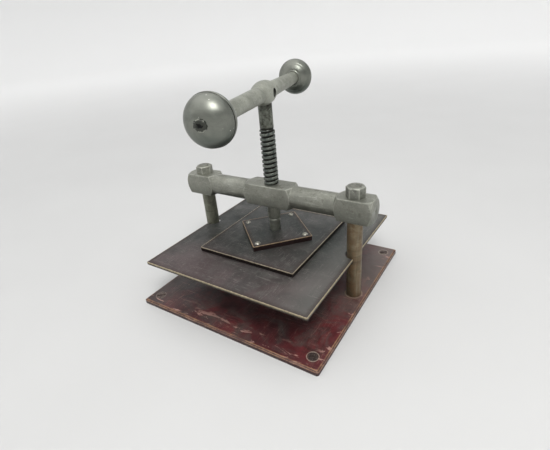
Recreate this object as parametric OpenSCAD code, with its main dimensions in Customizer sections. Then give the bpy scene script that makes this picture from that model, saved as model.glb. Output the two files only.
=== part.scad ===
// Bench-top screw press for books and copied letters: a flat base, two posts with a
// crosshead, and a pressing plate driven by a coarse screw with a two-knob handle.
// Millimetres, +Z up, the base stands on z = 0, +Y is the back, posts stand on the X axis.

/* [Base] */
// How far the base plate reaches past the axis of each post
base_margin = 23; // [20:0.5:50]
// Depth of the base plate from front to back
base_d = 355; // [240:1:460]
// Thickness of the base plate
base_t = 8; // [6:0.5:16]
// Width of the bevel round the top of the base plate
base_bevel = 3; // [1:0.5:5]
// Radius of the upright corners of the base plate
base_corner_r = 4; // [2:0.5:12]
// How far the plates stand forward of the line of the posts
plates_forward = 6; // [0:1:12]
// Inset of a corner screw from the side edge
base_screw_inset_x = 19.5; // [14:0.5:30]
// Inset of a corner screw from the front or back edge
base_screw_inset_y = 22.5; // [14:0.5:30]
// Head diameter of a corner screw
base_screw_head_d = 16; // [12:0.5:20]
// Shank diameter of a corner screw
base_screw_d = 8; // [5:0.5:10]

/* [Posts] */
// Distance between the axes of the two posts
post_span = 305; // [290:1:370]
// Diameter of a post
post_d = 25; // [20:0.5:29]
// Diameter of the turned-down ends of a post
post_end_d = 18; // [12:0.5:19]
// Height of a post between the base and the crosshead
post_h = 145; // [130:1:220]

/* [Crosshead] */
// Side of the square bar that the crosshead is cut from
head_side = 38; // [34:0.5:46]
// Length of the square middle block, corner to corner
head_mid_len = 81; // [60:1:110]
// Shift of the middle block along the crosshead from the screw's axis
head_mid_shift = -2; // [-6:0.5:6]
// Length of a square end block, corner to corner
head_end_len = 49; // [40:1:60]
// Length of the turned cone at each end of a block
head_cone_len = 6; // [4:0.5:10]

/* [Nuts] */
// Width across the flats of a post nut
nut_flats = 27; // [24:0.5:32]
// Height of the left post nut
nut_h_left = 15; // [10:0.5:22]
// Height of the right post nut
nut_h_right = 18; // [10:0.5:22]
// Height of the rounded stud end above its nut
stud_crown = 1.5; // [0.5:0.5:3]
// Turn of the left nut
nut_turn_left = 53; // [0:1:60]
// Turn of the right nut
nut_turn_right = 12; // [0:1:60]

/* [Screw] */
// Outer diameter of the screw thread
thread_d = 25.4; // [20:0.2:31]
// Rise of the thread in one turn
thread_pitch = 7.5; // [6:0.5:9]
// Depth of the thread
thread_depth = 2.1; // [1.4:0.1:2.4]
// Diameter of the plain shank above the thread
shank_d = 22.5; // [16:0.5:24]
// Diameter of the plain pin below the thread
pin_d = 22.5; // [18:0.5:24]
// Length of the neck that shows above the keeper plate
neck_show = 23.5; // [16:0.5:30]
// Diameter of the neck that turns in the keeper plate
neck_d = 20; // [12:0.5:20.5]
// Height of the thread's upper end above the crosshead
thread_above = 95; // [88:1:150]
// How far the thread stops short of the crosshead's underside
thread_inset = 4; // [2:0.5:10]
// How far the plain pin can rise further into the crosshead
pin_room = 13; // [6:0.5:18]
// Diameter of the collar trapped under the keeper plate
collar_d = 29; // [24:0.5:36]
// Thickness of the trapped collar
collar_t = 4.5; // [3:0.5:5.5]

/* [Handle] */
// Height of the handle's axis above the crosshead
handle_rise = 149; // [130:1:220]
// Turn of the handle about the screw
handle_turn = 104.3; // [0:0.1:180]
// Half length of the handle, from the screw to a knob's crown
handle_half = 210.5; // [170:0.5:260]
// Diameter of the handle's arm at the hub
arm_hub_d = 25; // [20:0.5:28]
// Diameter of the handle's arm at a knob
arm_knob_d = 22; // [16:0.5:24]
// Greatest diameter of the hub
hub_d = 37; // [34:0.5:42]
// Radius of the hub's barrel curve
hub_curve_r = 66; // [50:1:90]
// Radius of the fillet between the hub and an arm
hub_fillet_r = 9; // [5:0.5:14]
// Diameter of the cross pin through the hub
cross_pin_d = 8; // [5:0.5:9]
// Diameter of the recess at each end of the cross pin
cross_recess_d = 13; // [10:0.5:14]

/* [Knobs] */
// Diameter of a knob at its rim
knob_d = 65; // [50:0.5:80]
// Height of a knob's front above its seam
knob_front_t = 24; // [16:0.5:30]
// Diameter of a knob's front at the seam
knob_seam_d = 63.6; // [48:0.2:78]
// Thickness of a knob's rim band behind the seam
knob_band_t = 1.7; // [1:0.1:4]
// Depth of a knob's round back behind the rim
knob_back_t = 21; // [12:0.5:26]
// Diameter of the arm's end that is riveted over in the knob
rivet_d = 14; // [8:0.5:15]

/* [Pressing plate] */
// How far the pressing plate reaches past the axis of each post
platen_margin = 3.5; // [2:0.5:8]
// Depth of the pressing plate
platen_d = 332; // [220:1:440]
// Thickness of the pressing plate
platen_t = 5; // [4:0.5:10]
// Clear space between the base and the pressing plate
press_gap = 74; // [40:1:84]
// Gap between a post and its notch in the pressing plate
notch_gap = 2.5; // [1:0.5:5]
// Width of the middle plate
middle_w = 188; // [165:1:240]
// Depth of the middle plate
middle_d = 203; // [165:1:240]
// Thickness of the middle plate
middle_t = 7; // [5:0.5:10]
// Side of the keeper plate
keeper_side = 105; // [90:1:115]
// Thickness of the keeper plate
keeper_t = 9; // [8:0.5:12]
// Turn of the keeper plate away from square on its corner
keeper_turn = 1.8; // [0:0.1:5]
// Inset of a keeper screw from two edges
keeper_screw_inset = 10; // [8:0.5:14]
// Head diameter of a keeper screw
keeper_screw_head_d = 10; // [8:0.5:12]

/* [Hidden] */
$fn = 64;
eps = 0.01;

// Clearances
turn_gap = 0.1;
thread_gap = 0.3;
loose_gap = 0.4;
seat_gap = 0.3;

// Overall widths
base_w = post_span + 2 * base_margin;
platen_w = post_span + 2 * platen_margin;

// Heights
base_top = base_t;
platen_z = base_top + press_gap;
middle_z = platen_z + platen_t;
keeper_z = middle_z + middle_t;
keeper_top = keeper_z + keeper_t;
head_z = base_top + post_h;
head_axis_z = head_z + head_side / 2;
head_top = head_z + head_side;
handle_z = head_top + handle_rise;

// Crosshead
head_corner_r = head_side / sqrt(2);
end_block_in = post_span / 2 + 1.5 - head_end_len / 2;
end_block_out = end_block_in + head_end_len;
head_half = end_block_out + head_cone_len;

// Screw
thread_root_d = thread_d - 2 * thread_depth;
thread_bore_d = thread_root_d + 2 * thread_gap;
thread_low = head_z + thread_inset;
thread_high = head_top + thread_above;
pin_low = keeper_top + neck_show;
collar_z = keeper_z + seat_gap;
collar_room = collar_t + 2 * seat_gap;
spindle_in_hub = hub_d / 2 + 6;
thread_steps = 30;
crest_share = 0.4;
root_share = 0.3;

// Handle and knobs, along the handle's own axis
hub_centre_r = hub_d / 2 - hub_curve_r;
hub_end_r = arm_hub_d / 2;
hub_reach = sqrt(pow(hub_curve_r + hub_fillet_r, 2) - pow(hub_end_r + hub_fillet_r - hub_centre_r, 2));
rivet_crown = 1;
seam_x = handle_half - rivet_crown - knob_front_t;
rim_x = seam_x - knob_band_t;
back_seat_r = arm_knob_d / 2 + 0.6;
knob_back_x = rim_x - knob_back_t * sqrt(1 - pow(back_seat_r / (knob_d / 2), 2));

// Plates
plate_y = -plates_forward;
notch_r = post_d / 2 + notch_gap;
base_screw_x = base_w / 2 - base_screw_inset_x;
base_screw_y = base_d / 2 - base_screw_inset_y;
keeper_screw_r = (keeper_side / 2 - keeper_screw_inset) * sqrt(2);
keeper_screw_d = 5;
keeper_screw_head_h = 2.8;
rivet_inset = 22;
plate_rivet_d = 8;
plate_rivet_head_d = 14;
slot_w = 1.6;
slot_deep = 1.4;

// Points on an arc in degrees, used for turned outlines
function arc(cx, cy, r, a0, a1, n) =
    [for (i = [0:n]) [cx + r * cos(a0 + (a1 - a0) * i / n), cy + r * sin(a0 + (a1 - a0) * i / n)]];

// Rectangle with rounded corners, centred
module round_rect(w, d, r) {
    square([w - 2 * r, d], center = true);
    square([w, d - 2 * r], center = true);
    for (sx = [-1, 1], sy = [-1, 1])
        translate([sx * (w / 2 - r), sy * (d / 2 - r)])
            circle(r);
}

// Flat plate with its four top edges bevelled
module bevelled_plate(w, d, t, r, bevel) {
    fall = 0.6 * bevel;
    slope = atan2(fall, bevel);
    difference() {
        linear_extrude(t)
            round_rect(w, d, r);
        for (k = [0:3])
            rotate([0, 0, 90 * k])
                translate([(k % 2 == 0 ? w : d) / 2 - bevel, 0, t])
                    rotate([0, slope, 0])
                        translate([0, -w - d, 0])
                            cube([2 * bevel, 2 * (w + d), 2 * bevel]);
    }
}

// Countersunk screw with a slot, its top face at z = 0 and its length going down
module countersunk(head_d, shank_d, length, slot) {
    head_h = (head_d - shank_d) / 2;
    difference() {
        union() {
            translate([0, 0, -head_h])
                cylinder(d1 = shank_d, d2 = head_d, h = head_h);
            translate([0, 0, -length])
                cylinder(d = shank_d, h = length - head_h + eps);
        }
        if (slot > 0)
            translate([-head_d, -slot / 2, -slot_deep])
                cube([2 * head_d, slot, slot_deep + 1]);
    }
}

// Room for a countersunk screw
module countersunk_hole(head_d, shank_d, length) {
    translate([0, 0, -(head_d - shank_d) / 2])
        cylinder(d1 = shank_d, d2 = head_d, h = (head_d - shank_d) / 2);
    translate([0, 0, -length])
        cylinder(d = shank_d, h = length);
    cylinder(d = head_d, h = 1);
}

module at_base_screws() {
    for (sx = [-1, 1], sy = [-1, 1])
        translate([sx * base_screw_x, plate_y + sy * base_screw_y, base_top])
            children();
}

module at_posts() {
    for (sx = [-1, 1])
        translate([sx * post_span / 2, 0, 0])
            children();
}

module at_keeper_screws() {
    for (k = [0:3])
        rotate([0, 0, keeper_turn + 90 * k])
            translate([keeper_screw_r, 0, keeper_top])
                children();
}

module at_plate_rivets() {
    for (sx = [-1, 1], sy = [-1, 1])
        translate([sx * (middle_w / 2 - rivet_inset), sy * (middle_d / 2 - rivet_inset), platen_z])
            children();
}

module base_plate() {
    color([0.30, 0.13, 0.15])
        difference() {
            translate([0, plate_y, 0])
                bevelled_plate(base_w, base_d, base_t, base_corner_r, base_bevel);
            at_base_screws()
                countersunk_hole(base_screw_head_d, base_screw_d, base_t + 1);
            at_posts()
                translate([0, 0, -1])
                    cylinder(d = post_end_d, h = base_t + 2);
        }
}

module base_screws() {
    color([0.36, 0.36, 0.34])
        at_base_screws()
            rotate([0, 0, 20])
                countersunk(base_screw_head_d, base_screw_d, base_t, slot_w);
}

// A post with a turned-down foot in the base and a stud through the crosshead
module post(nut_h) {
    stud_top = head_top + nut_h;
    cylinder(d = post_end_d, h = base_t + eps);
    translate([0, 0, base_top])
        cylinder(d = post_d, h = post_h);
    translate([0, 0, head_z - eps])
        cylinder(d = post_end_d, h = stud_top - head_z + eps);
    translate([0, 0, stud_top - eps])
        cylinder(d1 = post_end_d, d2 = post_end_d - 4 * stud_crown, h = stud_crown);
}

module left_post() {
    color([0.33, 0.33, 0.28])
        translate([-post_span / 2, 0, 0])
            post(nut_h_left);
}

module right_post() {
    color([0.36, 0.31, 0.23])
        translate([post_span / 2, 0, 0])
            post(nut_h_right);
}

// Turned envelope of one square block: full corners in the middle, a cone at each end
module block_turning(x0, x1) {
    rotate([0, 90, 0])
        rotate_extrude()
            polygon([[0, x0 - head_cone_len], [head_side / 2, x0 - head_cone_len],
                     [head_corner_r, x0], [head_corner_r, x1],
                     [head_side / 2, x1 + head_cone_len], [0, x1 + head_cone_len]]);
}

module square_block(x0, x1) {
    intersection() {
        translate([x0 - head_cone_len, -head_side / 2, -head_side / 2])
            cube([x1 - x0 + 2 * head_cone_len, head_side, head_side]);
        block_turning(x0, x1);
    }
}

module crosshead() {
    color([0.48, 0.48, 0.44])
        difference() {
            translate([0, 0, head_axis_z])
                union() {
                    square_block(head_mid_shift - head_mid_len / 2, head_mid_shift + head_mid_len / 2);
                    square_block(end_block_in, end_block_out);
                    square_block(-end_block_out, -end_block_in);
                    rotate([0, 90, 0])
                        cylinder(d = head_side - 0.1, h = 2 * (end_block_in - eps), center = true);
                }
            translate([0, 0, head_z - 1])
                cylinder(d = thread_bore_d, h = head_side + 2);
            translate([0, 0, head_z - 1])
                cylinder(d = pin_d + 2 * loose_gap, h = thread_inset + pin_room + 1);
            turned()
                thread_ridge(thread_low - 2 * thread_pitch, head_top + 2 * thread_pitch,
                             thread_bore_d / 2, thread_d / 2 + thread_gap, thread_gap);
            at_posts()
                translate([0, 0, head_z - 1])
                    cylinder(d = post_end_d, h = head_side + 2);
        }
}

// Hexagon nut with its top corners turned off
module nut(turn, nut_h) {
    corner_d = nut_flats / cos(30);
    difference() {
        intersection() {
            rotate([0, 0, turn])
                cylinder(d = corner_d, h = nut_h, $fn = 6);
            union() {
                cylinder(d = corner_d + 1, h = nut_h - 2.4);
                translate([0, 0, nut_h - 2.4])
                    cylinder(d1 = corner_d + 1, d2 = nut_flats - 3, h = 2.4);
            }
        }
        translate([0, 0, -1])
            cylinder(d = post_end_d, h = nut_h + 2);
    }
}

module left_nut() {
    color([0.45, 0.45, 0.41])
        translate([-post_span / 2, 0, head_top])
            nut(nut_turn_left, nut_h_left);
}

module right_nut() {
    color([0.38, 0.38, 0.35])
        translate([post_span / 2, 0, head_top])
            nut(nut_turn_right, nut_h_right);
}

module platen_plate() {
    color([0.26, 0.23, 0.24])
        difference() {
            translate([0, plate_y, platen_z])
                linear_extrude(platen_t)
                    round_rect(platen_w, platen_d, 1.5);
            for (sx = [-1, 1])
                translate([sx * post_span / 2, 0, platen_z - 1]) {
                    cylinder(r = notch_r, h = platen_t + 2);
                    translate([sx > 0 ? 0 : -platen_w, -notch_r, 0])
                        cube([platen_w, 2 * notch_r, platen_t + 2]);
                }
            at_plate_rivets()
                mirror([0, 0, 1])
                    countersunk_hole(plate_rivet_head_d, plate_rivet_d, platen_t + 1);
        }
}

module middle_plate() {
    color([0.29, 0.25, 0.26])
        difference() {
            translate([0, 0, middle_z])
                linear_extrude(middle_t)
                    round_rect(middle_w, middle_d, 1.5);
            at_plate_rivets()
                mirror([0, 0, 1])
                    translate([0, 0, -platen_t - middle_t + 2])
                        cylinder(d = plate_rivet_d, h = middle_t);
            at_keeper_screws()
                translate([0, 0, -keeper_t - middle_t + 1.5])
                    cylinder(d = keeper_screw_d, h = middle_t);
        }
}

// Rivets that join the pressing plate to the middle plate, flush underneath
module plate_rivets() {
    color([0.34, 0.33, 0.31])
        at_plate_rivets()
            mirror([0, 0, 1])
                countersunk(plate_rivet_head_d, plate_rivet_d, platen_t + middle_t - 2, 0);
}

module keeper_plate() {
    color([0.31, 0.30, 0.29])
        difference() {
            translate([0, 0, keeper_z])
                rotate([0, 0, 45 + keeper_turn])
                    linear_extrude(keeper_t)
                        round_rect(keeper_side, keeper_side, 1.5);
            translate([0, 0, keeper_z - 1])
                cylinder(d = collar_d + 2 * loose_gap, h = collar_room + 1);
            translate([0, 0, keeper_z])
                cylinder(d = neck_d + 2 * loose_gap, h = keeper_t + 1);
            at_keeper_screws()
                translate([0, 0, -keeper_t - 1])
                    cylinder(d = keeper_screw_d, h = keeper_t + 2);
        }
}

// Round-headed slotted screws that hold the keeper plate down
module keeper_screws() {
    ball_r = (pow(keeper_screw_head_d / 2, 2) + pow(keeper_screw_head_h, 2)) / (2 * keeper_screw_head_h);
    color([0.62, 0.62, 0.58])
        at_keeper_screws()
            difference() {
                union() {
                    intersection() {
                        translate([0, 0, keeper_screw_head_h - ball_r])
                            sphere(ball_r);
                        cylinder(d = keeper_screw_head_d + 1, h = keeper_screw_head_h);
                    }
                    translate([0, 0, -keeper_t - middle_t + 1.5])
                        cylinder(d = keeper_screw_d, h = keeper_t + middle_t - 1.5 + eps);
                }
                rotate([0, 0, 35])
                    translate([-keeper_screw_head_d, -slot_w / 2, keeper_screw_head_h - slot_deep])
                        cube([2 * keeper_screw_head_d, slot_w, slot_deep + 1]);
            }
}

// Everything that turns with the screw is set at the handle's turn
module turned() {
    rotate([0, 0, handle_turn])
        children();
}

// Helical ridge of the thread: rings of four points that climb one pitch in each turn
module thread_ridge(low, high, r_root, r_crest, gap) {
    turns = (high - low) / thread_pitch - 1;
    count = round(turns * thread_steps);
    r_in = r_root - 1;
    rise_root = thread_pitch * (1 - root_share) / 2 + gap;
    rise_crest = thread_pitch * crest_share / 2 + gap;
    section = [[r_in, -rise_root], [r_crest, -rise_crest], [r_crest, rise_crest], [r_in, rise_root]];
    points = [for (i = [0:count], s = section)
        [s[0] * cos(360 * i / thread_steps), s[0] * sin(360 * i / thread_steps),
         low + thread_pitch / 2 + thread_pitch * i / thread_steps + s[1]]];
    sides = [for (i = [0:count - 1], k = [0:3], half = [0, 1])
        half == 0 ? [4 * i + k, 4 * i + (k + 1) % 4, 4 * (i + 1) + k]
                  : [4 * (i + 1) + k, 4 * i + (k + 1) % 4, 4 * (i + 1) + (k + 1) % 4]];
    polyhedron(points, concat(sides, [[3, 2, 1, 0]], [[4 * count, 4 * count + 1, 4 * count + 2, 4 * count + 3]]));
}

module threaded_length() {
    length = thread_high - thread_low;
    translate([0, 0, thread_low])
        cylinder(d = thread_root_d, h = length);
    thread_ridge(thread_low, thread_high, thread_root_d / 2, thread_d / 2, 0);
}

module spindle() {
    color([0.20, 0.22, 0.20])
        turned()
            difference() {
                union() {
                    translate([0, 0, collar_z])
                        cylinder(d = neck_d, h = pin_low - collar_z + eps);
                    translate([0, 0, pin_low])
                        cylinder(d = pin_d, h = thread_low - pin_low + eps);
                    threaded_length();
                    translate([0, 0, thread_high - eps])
                        cylinder(d = shank_d, h = handle_z - spindle_in_hub / 2 + 8 - thread_high);
                }
                translate([0, 0, handle_z])
                    rotate([90, 0, 0])
                        cylinder(d = cross_pin_d, h = hub_d, center = true);
            }
}

module thrust_collar() {
    color([0.30, 0.30, 0.28])
        translate([0, 0, collar_z])
            difference() {
                cylinder(d = collar_d, h = collar_t);
                translate([0, 0, -1])
                    cylinder(d = neck_d, h = collar_t + 2);
            }
}

// Outline of one half of the handle, radius against distance from the screw
function handle_outline() =
    let (fillet_y = hub_end_r + hub_fillet_r,
         lean = atan2(hub_reach, fillet_y - hub_centre_r))
    concat(
        [for (p = arc(0, hub_centre_r, hub_curve_r, 90, 90 - lean, 10)) p],
        [for (p = arc(hub_reach, fillet_y, hub_fillet_r, 270 - lean, 270, 6)) p],
        [[knob_back_x + 2, arm_knob_d / 2], [knob_back_x + 2, rivet_d / 2],
         [handle_half - rivet_crown - 0.5, rivet_d / 2], [handle_half, rivet_d / 2 - 3],
         [handle_half, 0], [0, 0]]);

// Turns an outline of [distance, radius] points about the X axis
module turned_about_x(outline) {
    rotate([0, 90, 0])
        rotate_extrude()
            polygon([for (p = outline) [p[1], p[0]]]);
}

module handle_bar() {
    color([0.50, 0.50, 0.47])
        turned()
            translate([0, 0, handle_z])
                difference() {
                    union() {
                        turned_about_x(handle_outline());
                        mirror([1, 0, 0])
                            turned_about_x(handle_outline());
                    }
                    translate([0, 0, -hub_d])
                        cylinder(d = shank_d, h = hub_d - spindle_in_hub / 2 + 8);
                    rotate([90, 0, 0])
                        cylinder(d = cross_pin_d, h = 2 * hub_d, center = true);
                    for (s = [-1, 1])
                        rotate([s * 90, 0, 0])
                            translate([0, 0, hub_d / 2 - 4])
                                cylinder(d = cross_recess_d, h = hub_d);
                }
}

module handle_pin() {
    color([0.25, 0.25, 0.23])
        turned()
            translate([0, 0, handle_z])
                rotate([90, 0, 0])
                    cylinder(d = cross_pin_d, h = hub_d - 8, center = true);
}

// Points on a quarter of an ellipse about [cx, 0], from its rim in to radius r_end
function quarter_ellipse(cx, reach, r_rim, r_end, n) =
    let (last = acos(r_end / r_rim))
    [for (i = [0:n]) [cx + reach * sin(last * i / n), r_rim * cos(last * i / n)]];

// Front of a knob: a flattened dome from the seam to the rivet
function knob_dome_outline() =
    concat([[seam_x, rivet_d / 2]],
           quarter_ellipse(seam_x, knob_front_t, knob_seam_d / 2, rivet_d / 2, 16));

// Back of a knob: a band up to the seam, the rim, and a round back that closes on the arm
function knob_back_outline() =
    concat([[seam_x, rivet_d / 2], [seam_x, knob_seam_d / 2]],
           quarter_ellipse(rim_x, -knob_back_t, knob_d / 2, back_seat_r, 16),
           [[knob_back_x, arm_knob_d / 2], [knob_back_x + 2, arm_knob_d / 2],
            [knob_back_x + 2, rivet_d / 2]]);

module knob_side(side) {
    turned()
        translate([0, 0, handle_z])
            mirror([side < 0 ? 1 : 0, 0, 0])
                children();
}

module front_knob() {
    color([0.60, 0.60, 0.57])
        knob_side(-1)
            turned_about_x(knob_dome_outline());
}

module front_knob_back() {
    color([0.54, 0.54, 0.51])
        knob_side(-1)
            turned_about_x(knob_back_outline());
}

module rear_knob() {
    color([0.60, 0.60, 0.57])
        knob_side(1)
            turned_about_x(knob_dome_outline());
}

module rear_knob_back() {
    color([0.54, 0.54, 0.51])
        knob_side(1)
            turned_about_x(knob_back_outline());
}

base_plate();
base_screws();
left_post();
right_post();
crosshead();
left_nut();
right_nut();
platen_plate();
middle_plate();
plate_rivets();
keeper_plate();
keeper_screws();
spindle();
thrust_collar();
handle_bar();
handle_pin();
front_knob();
front_knob_back();
rear_knob();
rear_knob_back();
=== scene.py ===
import math

import bmesh
import bpy
from mathutils import Matrix, Vector, noise


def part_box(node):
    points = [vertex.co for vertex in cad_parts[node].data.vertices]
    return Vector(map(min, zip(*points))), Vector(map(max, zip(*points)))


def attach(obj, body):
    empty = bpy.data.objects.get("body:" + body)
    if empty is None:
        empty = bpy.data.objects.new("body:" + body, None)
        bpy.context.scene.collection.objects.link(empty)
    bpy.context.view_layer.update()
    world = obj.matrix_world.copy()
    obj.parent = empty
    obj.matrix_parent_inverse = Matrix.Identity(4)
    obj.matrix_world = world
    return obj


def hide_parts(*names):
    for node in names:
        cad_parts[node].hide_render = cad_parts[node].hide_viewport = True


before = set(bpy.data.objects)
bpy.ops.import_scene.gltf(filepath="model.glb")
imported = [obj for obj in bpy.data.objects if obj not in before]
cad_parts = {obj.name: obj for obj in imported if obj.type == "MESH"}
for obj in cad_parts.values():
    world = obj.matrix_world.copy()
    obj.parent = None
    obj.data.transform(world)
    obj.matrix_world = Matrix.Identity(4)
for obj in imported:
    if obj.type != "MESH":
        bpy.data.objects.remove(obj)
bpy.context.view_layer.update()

MM = 0.001
TAU = 2 * math.pi


# ---------------------------------------------------------------- places, from the frame

def middle(node):
    """The centre of a CAD node's box."""
    low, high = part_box(node)
    return (Vector(low) + Vector(high)) / 2


def low(node):
    return Vector(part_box(node)[0])


def high(node):
    return Vector(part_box(node)[1])


POST_X = middle("right_post").x
POST_R = (high("right_post").x - low("right_post").x) / 2
BASE_TOP = high("base_plate").z
PLATEN_TOP = high("platen_plate").z
MIDDLE_TOP = high("middle_plate").z
KEEPER_TOP = high("keeper_plate").z
HEAD_LOW = low("crosshead").z
HEAD_TOP = high("crosshead").z
HEAD_AXIS_Z = (HEAD_LOW + HEAD_TOP) / 2
HEAD_FLAT = (HEAD_TOP - HEAD_LOW) / 2
HEAD_END = high("crosshead").x
HANDLE_Z = middle("front_knob").z
THREAD_R = 12.7 * MM
THREAD_ROOT_R = 10.6 * MM
PIN_R = 11.25 * MM
NECK_R = 10 * MM
THREAD_PITCH = 7.5 * MM
HANDLE_TURN = math.radians(104.3)
SCREW_DX, SCREW_DY = 312 * MM, 310 * MM
POST_HOLE_R = 9.05 * MM
KEEPER_HOLE_R = 2.55 * MM
CLEAR = 0.01    # how far a cutting tool runs on past the surface it cuts
AT_HANDLE = Matrix.Translation((0, 0, HANDLE_Z)) @ Matrix.Rotation(HANDLE_TURN, 4, "Z")
LAID_DOWN = Matrix.Rotation(math.pi / 2, 4, "X")


# ---------------------------------------------------------------- meshes

def new_object(name, verts, faces, smooth=True):
    mesh = bpy.data.meshes.new(name)
    mesh.from_pydata([tuple(v) for v in verts], [], faces)
    mesh.update()
    if smooth:
        mesh.polygons.foreach_set("use_smooth", [True] * len(mesh.polygons))
    obj = bpy.data.objects.new(name, mesh)
    bpy.context.scene.collection.objects.link(obj)
    return obj


def place(obj, matrix):
    """Puts an object's place into its mesh."""
    obj.data.transform(matrix)
    obj.data.update()
    return obj


def outward(obj):
    """Closes seams and turns every face outwards."""
    bm = bmesh.new()
    bm.from_mesh(obj.data)
    bmesh.ops.remove_doubles(bm, verts=bm.verts, dist=1e-7)
    bmesh.ops.recalc_face_normals(bm, faces=bm.faces)
    bm.to_mesh(obj.data)
    bm.free()
    return obj


def finished(obj):
    """The evaluated object's mesh, with its modifiers taken off."""
    depsgraph = bpy.context.evaluated_depsgraph_get()
    mesh = bpy.data.meshes.new_from_object(obj.evaluated_get(depsgraph))
    mesh.name = obj.name
    obj.modifiers.clear()
    obj.data = mesh
    return obj


def ring_grid(rings):
    """Vertices and faces of a closed skin through rings of equal length.
    A ring of one point closes an end."""
    verts, faces, starts = [], [], []
    for ring in rings:
        starts.append(len(verts))
        verts.extend(ring)
    for a, b, ra, rb in zip(starts, starts[1:], rings, rings[1:]):
        n = max(len(ra), len(rb))
        for j in range(n):
            k = (j + 1) % n
            if len(ra) == 1:
                faces.append((a, b + k, b + j))
            elif len(rb) == 1:
                faces.append((a + j, a + k, b))
            else:
                faces.append((a + j, a + k, b + k, b + j))
    return verts, faces


def arc(cx, cy, r, a0, a1, n):
    """Points on an arc, angles in degrees."""
    angles = [math.radians(a0 + (a1 - a0) * i / n) for i in range(n + 1)]
    return [(cx + r * math.cos(a), cy + r * math.sin(a)) for a in angles]


def turned(name, outline, segments=128, clamp=None):
    """A turned piece about its own Z, from (height, radius) points bottom to top.
    clamp(angle) is an upper limit on the radius, for flats milled on the turning."""
    rings = []
    for z, r in outline:
        if r <= 1e-7:
            rings.append([(0.0, 0.0, z)])
            continue
        ring = []
        for j in range(segments):
            a = TAU * j / segments
            rr = r if clamp is None else clamp(r, a)
            ring.append((rr * math.cos(a), rr * math.sin(a), z))
        rings.append(ring)
    obj = new_object(name, *ring_grid(rings))
    return outward(obj)


def soft_min(a, b, k):
    """The smaller of two lengths, with the change from one to the other rounded over k."""
    if k <= 0:
        return min(a, b)
    h = max(k - abs(a - b), 0.0) / k
    return min(a, b) - h * h * k / 4


def flats(sides, flat, k, turn=0.0):
    """A clamp for turned(): flats milled on the turning, their edges rounded over k."""
    def clamp(r, angle):
        part = TAU / sides
        local = (angle - turn + part / 2) % part - part / 2
        return soft_min(r, flat / math.cos(local), k)
    return clamp


def slab(name, width, depth, z0, z1, corner_r, bevel=(0.0, 0.0), centre_y=0.0):
    """A flat plate with round corners, its top edge bevelled by (across, down)."""
    across, down = bevel

    def outline(inset, z):
        points = []
        r = max(corner_r - inset, 0.2 * MM)
        for k, (sx, sy) in enumerate([(1, 1), (-1, 1), (-1, -1), (1, -1)]):
            cx = sx * (width / 2 - inset - r)
            cy = centre_y + sy * (depth / 2 - inset - r)
            points += [(x, y, z) for x, y in arc(cx, cy, r, 90 * k, 90 * (k + 1), 6)]
        return points

    rings = [outline(0, z0)]
    if down:
        rings += [outline(0, z1 - down), outline(across, z1)]
    else:
        rings += [outline(0, z1)]
    verts = [p for ring in rings for p in ring]
    n = len(rings[0])
    faces = [tuple(reversed(range(n))), tuple(range(len(verts) - n, len(verts)))]
    for i in range(len(rings) - 1):
        for j in range(n):
            k = (j + 1) % n
            faces.append((i * n + j, i * n + k, (i + 1) * n + k, (i + 1) * n + j))
    return outward(new_object(name, verts, faces, smooth=False))


def cut(obj, *tools):
    """Cuts the tools away from obj and throws them away."""
    for tool in tools:
        mod = obj.modifiers.new("cut", "BOOLEAN")
        mod.operation = "DIFFERENCE"
        mod.solver = "EXACT"
        mod.object = tool
        finished(obj)
        bpy.data.objects.remove(tool)
    return obj


def softened(obj, width, segments=2, angle=25):
    """Rounds the sharp edges and shades the rest smooth."""
    mod = obj.modifiers.new("edge", "BEVEL")
    mod.width = width
    mod.segments = segments
    mod.limit_method = "ANGLE"
    mod.angle_limit = math.radians(angle)
    mod.use_clamp_overlap = True
    mod.harden_normals = False
    finished(obj)
    mesh = obj.data
    mesh.polygons.foreach_set("use_smooth", [True] * len(mesh.polygons))
    mod = obj.modifiers.new("normals", "WEIGHTED_NORMAL")
    mod.keep_sharp = True
    finished(obj)
    return obj


def rod(name, r, z0, z1, x=0.0, y=0.0, segments=96):
    """A plain round rod, used as a cutting tool."""
    obj = turned(name, [(z0, 0), (z0, r), (z1, r), (z1, 0)], segments)
    return place(obj, Matrix.Translation((x, y, 0)))


def block(name, x0, x1, y0, y1, z0, z1):
    """A plain box, used as a cutting tool."""
    verts = [(x, y, z) for z in (z0, z1) for y in (y0, y1) for x in (x0, x1)]
    faces = [(0, 2, 3, 1), (4, 5, 7, 6), (0, 1, 5, 4), (2, 6, 7, 3), (0, 4, 6, 2), (1, 3, 7, 5)]
    return outward(new_object(name, verts, faces, smooth=False))


# ---------------------------------------------------------------- geometry nodes

def tree_socket(tree, name, kind, value=None):
    item = tree.interface.new_socket(name, in_out="INPUT", socket_type=kind)
    if value is not None:
        item.default_value = value
    return item


def start_tree(name):
    tree = bpy.data.node_groups.new(name, "GeometryNodeTree")
    tree.interface.new_socket("Geometry", in_out="INPUT", socket_type="NodeSocketGeometry")
    tree.interface.new_socket("Geometry", in_out="OUTPUT", socket_type="NodeSocketGeometry")
    start = tree.nodes.new("NodeGroupInput")
    end = tree.nodes.new("NodeGroupOutput")
    return tree, start, end


def field_math(tree, operation, *values):
    node = tree.nodes.new("ShaderNodeMath")
    node.operation = operation
    for socket, value in zip(node.inputs, values):
        if isinstance(value, (int, float)):
            socket.default_value = value
        else:
            tree.links.new(value, socket)
    return node.outputs[0]


def run_tree(obj, tree, **inputs):
    """Runs a tree on obj with its named inputs, and keeps the plain mesh."""
    mod = obj.modifiers.new(tree.name, "NODES")
    mod.node_group = tree
    for item in tree.interface.items_tree:
        key = item.name.lower().replace(" ", "_")
        if item.item_type == "SOCKET" and item.in_out == "INPUT" and key in inputs:
            mod[item.identifier] = inputs[key]
    return finished(obj)


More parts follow.
